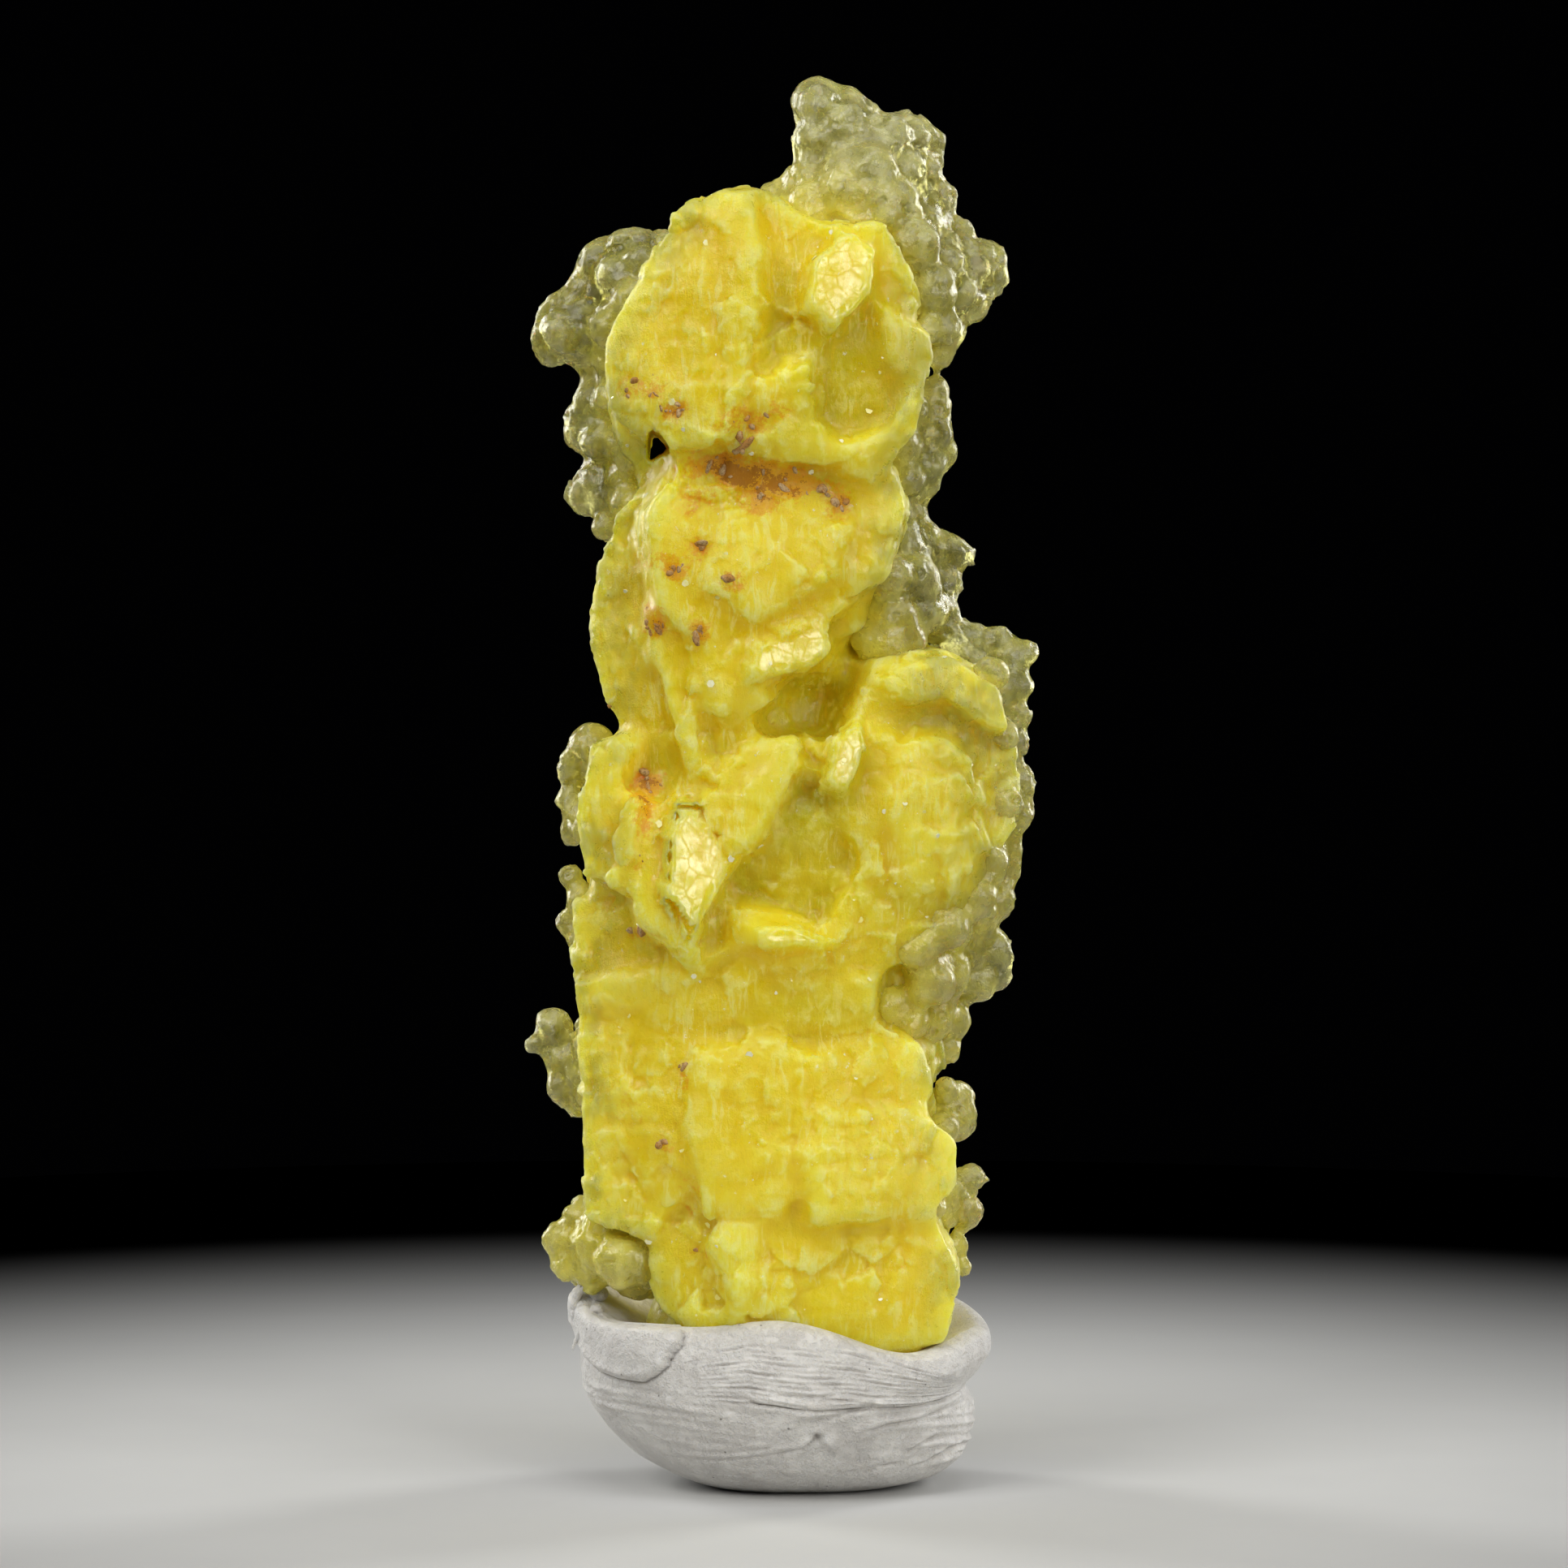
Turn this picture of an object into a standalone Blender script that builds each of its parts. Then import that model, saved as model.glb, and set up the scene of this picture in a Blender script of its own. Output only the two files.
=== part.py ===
"""Brucite specimen: a tall cluster of lemon yellow tabular crystals, edged with clear botryoidal lobes,
standing in a pressed lump of white mineral tack.

The sizes are in millimetres, and the origin is on the surface that the tack stands on. +X is to the
right of the best side of the specimen, +Y goes into it and +Z is up.
"""

import math
import random

import bmesh
import bpy
from mathutils import Matrix, Vector

MM = 0.001

CLUSTER_VOXEL = 0.5
CLUSTER_TRIANGLES = 7600
GOLDEN_ANGLE = math.pi * (3.0 - math.sqrt(5.0))
GOLDEN_SHARE = (math.sqrt(5.0) - 1.0) / 2.0

YELLOW = (0.83, 0.66, 0.06, 1.0)
WHITE_TACK = (0.80, 0.77, 0.72, 1.0)

# The gap that keeps the crystals clear of the tack pressed round them.
SOCKET_GAP = 0.45
SOCKET_VOXEL = 0.45
SOCKET_THINNING = 0.12
FOOT_BOTTOM = 5.4
FOOT_TOP = 14.0

# The massive part of the cluster, as faceted chunks: centre, half sizes, corners, seed.
CHUNKS = {
    "top_mass": ((-1.0, 0.0, 70.6), (9.0, 7.0, 8.8), 26, 11),
    "crest_root": ((3.4, 0.2, 77.6), (5.4, 4.2, 4.6), 18, 12),
    "waist_mass": ((-1.6, 0.0, 61.2), (7.4, 6.2, 6.2), 20, 13),
    "middle_mass": ((-2.2, 0.0, 54.4), (8.4, 6.8, 7.6), 24, 14),
    "right_mass": ((7.6, 0.2, 42.8), (5.8, 6.2, 8.4), 24, 15),
    "left_mass": ((-7.6, 0.2, 38.6), (4.9, 6.0, 9.0), 22, 16),
    "heart": ((-0.4, 1.0, 42.6), (7.4, 6.0, 9.2), 24, 17),
    "belt": ((-1.2, 0.4, 31.6), (10.6, 6.6, 6.4), 26, 18),
    "lower_mass": ((-1.2, 0.2, 21.8), (10.6, 7.4, 9.0), 30, 19),
    "foot_mass": ((1.0, 0.2, 13.6), (8.8, 6.8, 6.0), 24, 20),
}

# The foot that the tack holds: half widths at its top and at its bottom, and its sides.
FOOT = {"centre": (1.6, 0.0), "top": (6.8, 5.4), "bottom": (4.6, 3.6), "sides": 9}

# How much wider a front crystal gets on its way in.
FRONT_FLARE = 1.12

# Crystals of the best side: how far forward the face stands, its tilt to the side and up in degrees,
# the thickness, and the outline as (x, z) points.
FRONT_CRYSTALS = {
    "shoulder_slab": (-7.6, (-21, 8), 4.6, [(-6.7, 78.4), (-4.3, 79.8), (-2.3, 79.6), (-1.6, 76.7),
        (-1.9, 71.2), (-3.6, 64.9), (-6.9, 64.3), (-10.4, 66.0), (-11.1, 68.2), (-10.8, 70.9),
        (-8.8, 74.9)]),
    "brow_valley": (-6.9, (4, 6), 4.0, [(-2.6, 79.6), (-0.1, 79.1), (3.2, 77.2), (1.7, 74.2),
        (1.2, 70.2), (-2.6, 67.7), (-2.1, 75.7)]),
    "brow_glint": (-8.7, (12, 12), 3.0, [(3.8, 77.2), (5.1, 76.2), (4.8, 73.8), (2.9, 72.0),
        (1.7, 73.2), (2.1, 75.2)]),
    "brow_right": (-6.4, (25, 6), 4.0, [(2.2, 77.9), (6.4, 77.8), (8.8, 73.2), (6.9, 71.9),
        (4.7, 72.9), (3.4, 77.2)]),
    "hollow_floor": (-5.1, (14, -6), 4.0, [(1.4, 71.9), (5.7, 72.7), (9.1, 70.9), (7.9, 65.7),
        (3.7, 64.4), (1.2, 66.4)]),
    "glass_shard": (-6.3, (30, 4), 3.6, [(5.9, 73.2), (8.7, 71.2), (9.3, 69.5), (8.1, 67.7),
        (6.3, 69.7)]),
    "lip_left": (-8.3, (4, -14), 4.0, [(-3.3, 65.7), (-1.6, 68.2), (1.7, 69.4), (1.9, 66.2),
        (4.2, 62.6), (-0.1, 63.2), (-4.1, 64.5)]),
    "lip_right": (-6.9, (26, -8), 4.6, [(3.4, 64.4), (6.4, 65.4), (8.7, 69.2), (8.1, 65.2),
        (6.6, 63.0), (5.4, 62.0), (3.9, 62.5)]),
    "under_ledge": (-6.7, (-5, -16), 3.5, [(-6.9, 64.5), (-4.1, 64.5), (0.4, 62.7), (-0.3, 61.4),
        (-3.6, 62.7), (-6.4, 63.4)]),
    "fan_slab": (-7.0, (6, 6), 5.0, [(-6.4, 63.4), (-0.3, 62.2), (6.6, 63.1), (7.4, 60.7),
        (6.3, 56.5), (2.5, 53.7), (-1.8, 50.4), (-4.8, 51.9), (-7.6, 54.7), (-8.3, 60.2)]),
    "fan_boss": (-8.1, (5, 12), 4.0, [(-4.3, 60.2), (-0.3, 61.9), (4.4, 59.9), (3.4, 56.7),
        (-1.8, 53.6), (-4.7, 55.7)]),
    "left_column": (-4.3, (-29, 3), 5.6, [(-10.3, 60.2), (-8.1, 61.2), (-7.3, 55.2), (-5.3, 45.7),
        (-8.3, 46.4), (-11.1, 48.7), (-12.1, 53.4), (-11.4, 57.2)]),
    "left_blade": (-6.6, (-22, 0), 4.6, [(-8.8, 54.8), (-7.6, 54.4), (-4.9, 44.7), (-5.9, 44.1)]),
    "inner_blade": (-6.9, (-15, 10), 4.0, [(-7.3, 54.9), (-5.8, 53.9), (-3.1, 49.2), (-3.8, 47.9),
        (-5.8, 49.7)]),
    "step_plate": (-8.0, (13, 12), 3.5, [(2.5, 54.3), (3.1, 52.2), (1.7, 50.9), (-2.1, 50.4),
        (-1.8, 52.2)]),
    "tri_plate": (-7.5, (-5, -8), 3.5, [(-4.7, 52.0), (-2.6, 50.8), (-0.6, 48.8), (-3.3, 46.9),
        (-5.4, 48.2)]),
    "pale_plate": (-8.0, (-9, 12), 4.0, [(-1.8, 46.5), (0.8, 47.2), (0.9, 45.2), (-1.8, 40.4),
        (-3.1, 39.4), (-4.8, 42.2), (-4.3, 44.9)]),
    "left_bar": (-4.8, (-29, 3), 5.1, [(-11.9, 46.3), (-10.2, 46.8), (-9.5, 46.1), (-10.4, 42.2),
        (-10.8, 38.4), (-12.5, 38.2), (-12.7, 41.7)]),
    "middle_bar": (-6.2, (-21, 0), 4.6, [(-9.5, 43.2), (-8.7, 43.0), (-9.3, 38.9), (-10.1, 37.0),
        (-11.0, 37.5), (-10.2, 41.2)]),
    "glint_back": (-7.6, (-1, 12), 4.0, [(-6.6, 43.7), (-5.1, 43.2), (-2.9, 39.4), (-4.8, 36.1),
        (-5.8, 33.3), (-8.8, 35.8), (-9.2, 37.4), (-7.7, 41.9)]),
    "glint_front": (-8.5, (12, 12), 3.0, [(-6.2, 42.2), (-5.1, 42.0), (-3.4, 39.4), (-5.6, 35.4),
        (-6.7, 37.1), (-6.5, 40.2)]),
    "hollow_back": (-4.6, (3, -8), 4.0, [(-1.6, 40.4), (0.8, 42.9), (4.6, 41.6), (4.2, 37.9),
        (0.7, 35.6), (-2.7, 36.9)]),
    "ledge_mass": (-7.4, (4, 4), 4.0, [(-3.1, 36.6), (-0.3, 36.1), (3.9, 34.6), (3.9, 32.9),
        (-0.3, 32.4), (-3.3, 33.9)]),
    "ledge_glint": (-8.8, (12, 12), 3.0, [(-1.9, 35.5), (0.3, 35.4), (3.3, 34.4), (2.4, 33.9),
        (-1.3, 34.2)]),
    "cap_crystal": (-4.6, (24, 7), 6.1, [(5.7, 51.2), (9.9, 52.0), (13.2, 50.2), (14.5, 45.2),
        (14.4, 41.7), (11.7, 36.1), (7.2, 35.9), (4.2, 40.7), (3.7, 45.7)]),
    "cap_face": (-6.1, (24, 3), 4.6, [(7.0, 46.1), (9.9, 46.8), (11.5, 45.2), (12.8, 39.9),
        (10.4, 37.0), (7.9, 36.9), (6.3, 42.2)]),
    "cap_rim": (-5.5, (23, 16), 4.6, [(5.9, 50.4), (9.9, 51.7), (13.2, 49.7), (14.0, 46.9),
        (12.8, 47.2), (9.7, 49.7), (6.9, 49.1)]),
    "cap_shoulder": (-6.9, (1, 6), 4.0, [(3.2, 43.9), (4.7, 47.2), (6.9, 46.9), (6.2, 42.2),
        (4.8, 39.7), (3.4, 41.7)]),
    "sliver_glint": (-8.5, (12, 12), 3.0, [(4.5, 47.2), (4.6, 46.2), (3.7, 43.9), (2.8, 44.7),
        (3.3, 46.3)]),
    "pocket_mass": (-5.5, (18, -6), 5.1, [(4.8, 39.2), (6.9, 38.6), (10.4, 37.0), (11.4, 35.1),
        (7.7, 32.6), (3.9, 32.9), (3.2, 36.1)]),
    "left_flank": (-4.2, (-27, 6), 5.1, [(-13.2, 36.6), (-9.3, 37.4), (-7.8, 34.6), (-9.8, 32.2),
        (-13.1, 31.5)]),
    "left_wedge": (-5.8, (-19, -12), 4.6, [(-13.1, 31.5), (-8.8, 32.4), (-4.0, 33.6), (-5.8, 31.4),
        (-10.1, 29.1), (-12.8, 29.9)]),
    "bridge": (-6.7, (-1, -6), 4.5, [(-4.0, 33.6), (-0.3, 32.6), (5.6, 32.0), (5.4, 29.7),
        (1.2, 27.2), (-5.3, 27.7), (-8.3, 29.7)]),
    "lower_left": (-5.9, (-24, 3), 5.6, [(-12.8, 30.2), (-8.3, 29.9), (-4.9, 27.2), (-4.9, 21.2),
        (-8.3, 15.9), (-12.3, 17.0), (-12.5, 22.2)]),
    "lower_middle": (-8.1, (-2, 6), 5.0, [(-5.3, 27.9), (-0.8, 28.4), (2.2, 27.2), (1.7, 21.2),
        (-0.3, 17.7), (-4.8, 17.7), (-5.8, 22.7)]),
    "lower_facet": (-7.5, (18, 6), 5.6, [(1.2, 21.2), (2.2, 23.9), (8.2, 24.1), (10.7, 21.9),
        (10.7, 19.4), (8.9, 17.3), (1.9, 17.2)]),
    "lower_brow": (-6.5, (18, 10), 5.1, [(2.2, 27.2), (5.2, 29.2), (8.4, 27.9), (9.3, 24.9),
        (8.2, 23.7), (1.7, 23.2)]),
    "foot_wedge": (-8.6, (9, 6), 4.0, [(-3.0, 17.4), (-1.4, 18.7), (-1.3, 13.7), (-2.8, 12.2),
        (-4.7, 15.8)]),
    "foot_left": (-6.7, (-14, 3), 5.0, [(-8.5, 14.6), (-6.7, 16.4), (-4.3, 15.8), (-3.1, 12.2),
        (-3.3, 9.9), (-5.8, 9.9), (-8.0, 12.0)]),
    "foot_right": (-7.2, (10, 0), 5.0, [(-1.8, 17.7), (5.7, 17.2), (9.2, 17.4), (10.8, 13.9),
        (9.9, 9.4), (4.7, 8.9), (-3.3, 9.4), (-3.1, 12.7)]),
    "foot_corner": (-4.0, (29, 0), 5.6, [(8.2, 14.2), (10.9, 15.2), (10.5, 10.2), (8.9, 9.4),
        (7.8, 11.7)]),
    "stain_floor": (-4.6, (-24, 0), 4.6, [(-10.2, 47.8), (-7.0, 47.6), (-5.6, 43.2), (-9.6, 43.0)]),
    "foot_joint": (-6.7, (-6, 0), 4.0, [(-6.5, 18.6), (-1.0, 18.8), (-1.6, 15.0), (-5.5, 15.0)]),
}

# The body's girth at each height, for the crystals and lobes of the other sides:
# height, middle in X, half width, half depth.
GIRTH = [
    (8.0, 1.4, 8.0, 6.4), (13.0, 0.9, 9.0, 7.4), (19.0, -0.8, 9.8, 7.9), (25.0, -1.3, 10.0, 7.9),
    (31.0, -1.0, 10.4, 7.3), (37.0, 0.2, 11.4, 7.5), (43.0, 0.6, 11.6, 7.7), (49.0, -0.6, 9.2, 7.0),
    (55.0, -2.4, 8.0, 7.3), (61.0, -1.6, 7.2, 6.8), (66.0, -1.4, 8.2, 7.3), (71.0, -1.0, 9.0, 7.5),
    (76.0, 0.6, 7.2, 6.0), (79.0, 1.4, 5.0, 4.4),
]

# Crystals of the other sides, spread by a seed between two directions round from the right.
SIDE_COUNT = 78
SIDE_SEED = 5
SIDE_FROM, SIDE_TO = -36.0, 216.0
SIDE_LOW, SIDE_HIGH = 9.0, 77.0
SIDE_SIZES = (2.0, 5.8)
SIDE_THICKNESS = 3.6
SIDE_FLARE = 1.12
STEP_SIZE = 0.62
STEP_RISE = 0.75
STEPPED_FROM = 3.0

# Bunches of lobes on the other sides: how many, the lobes in each, their radii and their spread.
BUNCHES = 16
BUNCH_LOBES = 6
BUNCH_SEED = 12
BUNCH_RADII = (1.0, 2.1)
BUNCH_FROM, BUNCH_TO = 20.0, 160.0
BUNCH_LOW, BUNCH_HIGH = 13.0, 75.0
BUNCH_TURN = 20.0
BUNCH_REACH = 3.2

# The small window left open at the left of the waist: its place and its radius.
WINDOW = (-7.7, 64.0, 0.75)
WINDOW_RISE = 4.0

# Clear lobes round the edges, as (x, y, z, radius).
LOBES = {
    "crest": [
        (2.1, 0.5, 85.1, 1.8), (3.8, 0.8, 84.2, 1.9), (1.9, 0.2, 82.6, 1.6), (4.2, 0.6, 82.2, 2.2),
        (6.4, 1.2, 82.6, 2.1), (7.8, 1.4, 83.1, 1.7), (9.0, 1.4, 82.7, 1.1), (8.5, 1.0, 80.9, 1.6),
        (6.2, 0.2, 79.9, 2.4), (3.4, 0.2, 79.7, 2.3), (1.4, 0.0, 80.1, 1.6), (-0.2, -0.8, 79.1, 1.4),
        (9.5, 1.4, 79.2, 1.3), (7.7, 0.2, 77.7, 2.1), (4.7, -0.8, 77.4, 2.2), (1.7, -1.0, 77.7, 2.0),
    ],
    "upper_left": [
        (-5.2, -0.6, 78.1, 1.1), (-7.7, 1.4, 76.5, 1.2), (-9.4, 1.2, 75.9, 1.8),
        (-11.2, 1.6, 75.2, 1.7), (-12.1, 1.6, 73.5, 1.5), (-9.7, 0.8, 73.5, 2.0),
        (-13.6, 1.8, 72.2, 1.5), (-14.2, 2.0, 70.7, 1.5), (-11.9, 1.4, 71.2, 2.1),
        (-12.2, 1.4, 69.7, 1.3), (-10.3, 0.6, 69.7, 1.7),
    ],
    "middle_left": [
        (-11.4, 1.0, 66.8, 1.8), (-12.1, 1.4, 65.2, 1.6), (-10.2, 1.0, 64.7, 1.9),
        (-8.5, 0.8, 63.1, 1.5), (-11.1, 1.2, 61.8, 1.8), (-12.2, 1.4, 61.2, 1.4),
        (-9.7, 0.6, 61.1, 1.7), (-10.7, 0.2, 59.2, 1.1),
    ],
    "upper_right": [
        (10.7, 1.4, 77.1, 1.1), (9.1, 0.6, 75.8, 2.0), (11.3, 1.2, 75.0, 1.8), (12.7, 1.8, 75.8, 1.2),
        (13.0, 1.8, 74.5, 1.0), (11.5, 1.2, 73.2, 1.4), (9.6, 0.4, 73.0, 1.9), (10.3, 0.8, 71.0, 1.1),
        (9.6, 0.8, 69.7, 1.0),
    ],
    "middle_right": [
        (9.2, 0.8, 67.2, 1.3), (8.7, 0.8, 65.2, 1.8), (9.5, 1.2, 63.7, 1.3), (8.2, 0.8, 62.2, 1.6),
        (7.6, 0.6, 60.1, 1.3), (8.3, 0.8, 58.2, 1.6), (10.0, 1.2, 57.6, 1.4), (11.2, 1.4, 57.4, 0.9),
        (10.1, 1.0, 55.8, 1.2), (7.9, -1.2, 55.9, 1.9), (9.2, 0.4, 53.7, 1.8), (6.5, -2.6, 53.7, 1.8),
        (5.5, -3.2, 52.2, 1.4), (7.5, -2.0, 52.2, 1.5),
    ],
    "far_right": [
        (11.5, 0.8, 52.1, 1.3), (13.0, 1.2, 52.1, 1.1), (14.0, 1.2, 51.1, 1.4), (15.3, 1.4, 51.4, 0.7),
        (14.4, 1.0, 49.6, 1.0), (14.2, 0.8, 47.6, 1.2), (13.9, 0.6, 45.8, 1.3), (14.5, 0.8, 43.4, 1.2),
        (14.3, 0.8, 41.5, 1.3), (13.5, 0.6, 39.6, 1.4), (13.7, 0.8, 37.9, 1.1), (13.1, 0.6, 36.2, 1.4),
    ],
    "lower_right": [
        (11.5, 0.2, 34.6, 1.7), (12.8, 0.8, 33.1, 1.4), (13.3, 1.2, 31.5, 1.1), (11.7, 0.8, 31.0, 1.4),
        (9.7, -1.6, 31.9, 1.9), (10.5, 0.4, 28.6, 1.2), (9.9, 0.2, 26.9, 1.1), (8.7, -1.4, 29.2, 1.9),
        (6.3, -3.4, 29.8, 1.8), (3.7, -4.6, 29.9, 1.5), (10.7, 0.4, 24.1, 1.1), (10.2, 0.2, 22.8, 1.8),
        (11.3, 0.8, 22.2, 0.8),
    ],
    "foot_right": [
        (11.5, 0.6, 18.9, 1.1), (12.6, 0.8, 18.8, 0.5), (11.2, 0.4, 16.9, 1.2), (10.7, 0.0, 14.7, 0.9),
        (11.0, 0.0, 13.4, 0.6), (9.7, -1.0, 18.2, 1.5),
    ],
    "left": [
        (-11.9, 1.2, 45.6, 1.6), (-13.0, 1.4, 44.2, 1.1), (-13.2, 1.4, 42.2, 1.0),
        (-13.0, 1.2, 40.2, 1.0), (-13.2, 1.0, 37.6, 0.9), (-12.5, 0.6, 36.1, 1.1),
        (-13.3, 1.0, 34.6, 0.9), (-12.3, 0.6, 33.6, 1.2),
    ],
    "left_knob": [
        (-14.1, 1.2, 28.2, 1.3), (-15.2, 1.2, 27.2, 0.7), (-15.7, 1.2, 27.0, 0.5),
        (-13.7, 1.0, 26.2, 1.3), (-13.5, 0.8, 24.5, 1.3), (-12.7, 0.6, 23.4, 1.0),
    ],
    "foot_left": [
        (-12.5, -0.6, 16.9, 1.1), (-13.7, -0.4, 15.2, 1.4), (-13.3, -0.6, 13.8, 1.3),
        (-11.1, -2.2, 15.2, 2.2), (-10.1, -2.6, 14.1, 1.6), (-12.1, -1.8, 13.4, 1.0),
        (-9.2, -2.2, 13.2, 1.6), (-8.6, -1.8, 15.0, 1.8),
    ],
}
LOBE_GROWTH = 0.12
TWINNED_FROM = 1.05
LOBE_DEPTH = 0.85
LOBE_SEED = 3

# The tack: rings from the foot up and over into the dish. Each ring has its height, its radius to the
# right, back, left and front, and how much of the rim's waves it takes.
TACK_RINGS = [
    (0.0, (0.0, 0.0, 0.0, 0.0), 0.0),
    (0.0, (4.2, 3.2, 2.4, 2.8), 0.0),
    (0.0, (7.0, 5.4, 4.6, 4.4), 0.0),
    (0.7, (9.7, 7.6, 6.6, 6.6), 0.0),
    (2.0, (11.2, 9.0, 9.0, 8.4), 0.0),
    (3.6, (11.9, 9.9, 10.7, 9.6), 0.0),
    (5.2, (12.0, 10.4, 11.9, 10.3), 0.1),
    (6.2, (11.8, 10.7, 12.3, 10.6), 0.2),
    (7.4, (12.3, 10.7, 12.4, 10.5), 0.5),
    (8.8, (13.0, 10.2, 12.3, 10.0), 0.9),
    (10.0, (12.9, 9.5, 12.4, 9.2), 1.0),
    (10.4, (12.0, 8.6, 11.8, 8.2), 1.0),
    (9.8, (10.6, 7.6, 10.4, 7.2), 0.8),
    (8.4, (8.2, 5.8, 7.4, 5.6), 0.3),
    (7.6, (4.0, 3.0, 4.0, 3.0), 0.0),
    (7.5, (0.0, 0.0, 0.0, 0.0), 0.0),
]
TACK_CENTRE_X = -0.2
TACK_SIDES = 48
TACK_OUTSIDE = 11

# Waves of the tack's rim: the direction in degrees round from the right, the spread, and the rise.
RIM_WAVES = [
    (0, 14, -0.5), (36, 20, 0.8), (-40, 22, -1.4), (-93, 26, 0.8), (-140, 20, 0.3), (174, 18, 1.6),
    (142, 22, 1.1), (90, 36, 0.4),
]

# Bulges of the tack's side: direction, height, spread in degrees, spread in height, and push outwards.
TACK_BULGES = [
    (-138, 9.4, 15, 1.7, 0.5),
    (176, 10.8, 8, 1.4, 0.5),
    (-8, 6.1, 24, 0.8, -0.4),
    (-60, 4.6, 8, 1.0, 0.35),
    (-26, 1.8, 22, 1.2, 0.35),
]


def clear_scene():
    """Removes whatever the open file holds."""
    for old in list(bpy.data.objects):
        bpy.data.objects.remove(old)


def collection(name, hidden=False):
    """Adds a collection to the scene; a hidden one keeps its objects out of renders."""
    made = bpy.data.collections.new(name)
    made.hide_render = hidden
    bpy.context.scene.collection.children.link(made)
    return made


def surface(name, colour, roughness):
    """A plain material for one sub-part."""
    material = bpy.data.materials.new(name)
    material.use_nodes = True
    shader = material.node_tree.nodes["Principled BSDF"]
    shader.inputs["Base Color"].default_value = colour
    shader.inputs["Roughness"].default_value = roughness
    shader.inputs["Metallic"].default_value = 0.0
    return material


def add_chunk(mesh, centre, half_sizes, corners, seed):
    """A faceted chunk: the hull of points spread over an ellipsoid and jittered."""
    rng = random.Random(seed)
    points = []
    for index in range(corners):
        height = 1.0 - 2.0 * (index + 0.5) / corners
        ring = math.sqrt(1.0 - height * height)
        turn = index * GOLDEN_ANGLE + rng.uniform(-0.35, 0.35)
        reach = rng.uniform(0.86, 1.1)
        unit = Vector((ring * math.cos(turn), ring * math.sin(turn), height)) * reach
        place = [c + h * u for c, h, u in zip(centre, half_sizes, unit)]
        points.append(mesh.verts.new(Vector(place) * MM))
    hull = bmesh.ops.convex_hull(mesh, input=points)
    inside = [v for v in hull["geom_interior"] if isinstance(v, bmesh.types.BMVert)]
    bmesh.ops.delete(mesh, geom=inside, context="VERTS")


def add_slab(mesh, corners, inward, flare):
    """A tabular crystal: a flat outline, thickened inward and spread by the flare on the way."""
    ring = bmesh.ops.create_circle(mesh, cap_ends=True, radius=1.0, segments=len(corners))["verts"]
    for corner, place in zip(ring, corners):
        corner.co = place
    face = ring[0].link_faces[0]
    middle = face.calc_center_median()
    grown = bmesh.ops.extrude_face_region(mesh, geom=[face])["geom"]
    back = [v for v in grown if isinstance(v, bmesh.types.BMVert)]
    for corner in back:
        corner.co = middle + (corner.co - middle) * flare + inward
    bmesh.ops.scale(mesh, vec=(MM, MM, MM), verts=ring + back)


def front_corners(outline, forward, tilt):
    """The corners of a front crystal's face, and the way into the rock behind it."""
    sideways = math.tan(math.radians(tilt[0]))
    upwards = math.tan(math.radians(tilt[1]))
    middle_x = sum(x for x, _ in outline) / len(outline)
    middle_z = sum(z for _, z in outline) / len(outline)
    corners = []
    for x, z in outline:
        y = forward + sideways * (x - middle_x) + upwards * (z - middle_z)
        corners.append(Vector((x, y, z)))
    return corners, Vector((-sideways, 1.0, -upwards)).normalized()


def hexagon(half_width, half_height, seed):
    """A six-sided outline with slightly uneven corners."""
    rng = random.Random(seed)
    points = []
    for corner in range(6):
        angle = math.radians(60.0 * corner) + rng.uniform(-0.14, 0.14)
        reach = rng.uniform(0.9, 1.08)
        points.append((half_width * reach * math.cos(angle), half_height * reach * math.sin(angle)))
    return points


def side_corners(centre, facing, turn, outline):
    """The corners of a crystal that looks the given way, and the way into the rock behind it."""
    around = Matrix.Rotation(math.radians(facing[0] + 90.0), 3, "Z")
    upward = Matrix.Rotation(-math.radians(facing[1]), 3, "X")
    spin = Matrix.Rotation(math.radians(turn), 3, "Y")
    placing = around @ upward @ spin
    corners = [centre + placing @ Vector((x, 0.0, z)) for x, z in outline]
    return corners, placing @ Vector((0.0, 1.0, 0.0))


def girth_at(height):
    """The body's middle in X, half width and half depth at a height."""
    for lower, upper in zip(GIRTH, GIRTH[1:]):
        if height <= upper[0]:
            share = max(0.0, (height - lower[0]) / (upper[0] - lower[0]))
            return [a + (b - a) * share for a, b in zip(lower[1:], upper[1:])]
    return list(GIRTH[-1][1:])


def skin_point(direction, height, sink):
    """A point of the body's side, a little below its surface, and the way that the side faces."""
    middle, wide, deep = girth_at(height)
    angle = math.radians(direction)
    place = Vector((middle + (wide - sink) * math.cos(angle), (deep - sink) * math.sin(angle), height))
    outward = math.degrees(math.atan2(math.sin(angle) / deep, math.cos(angle) / wide))
    return place, outward


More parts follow.
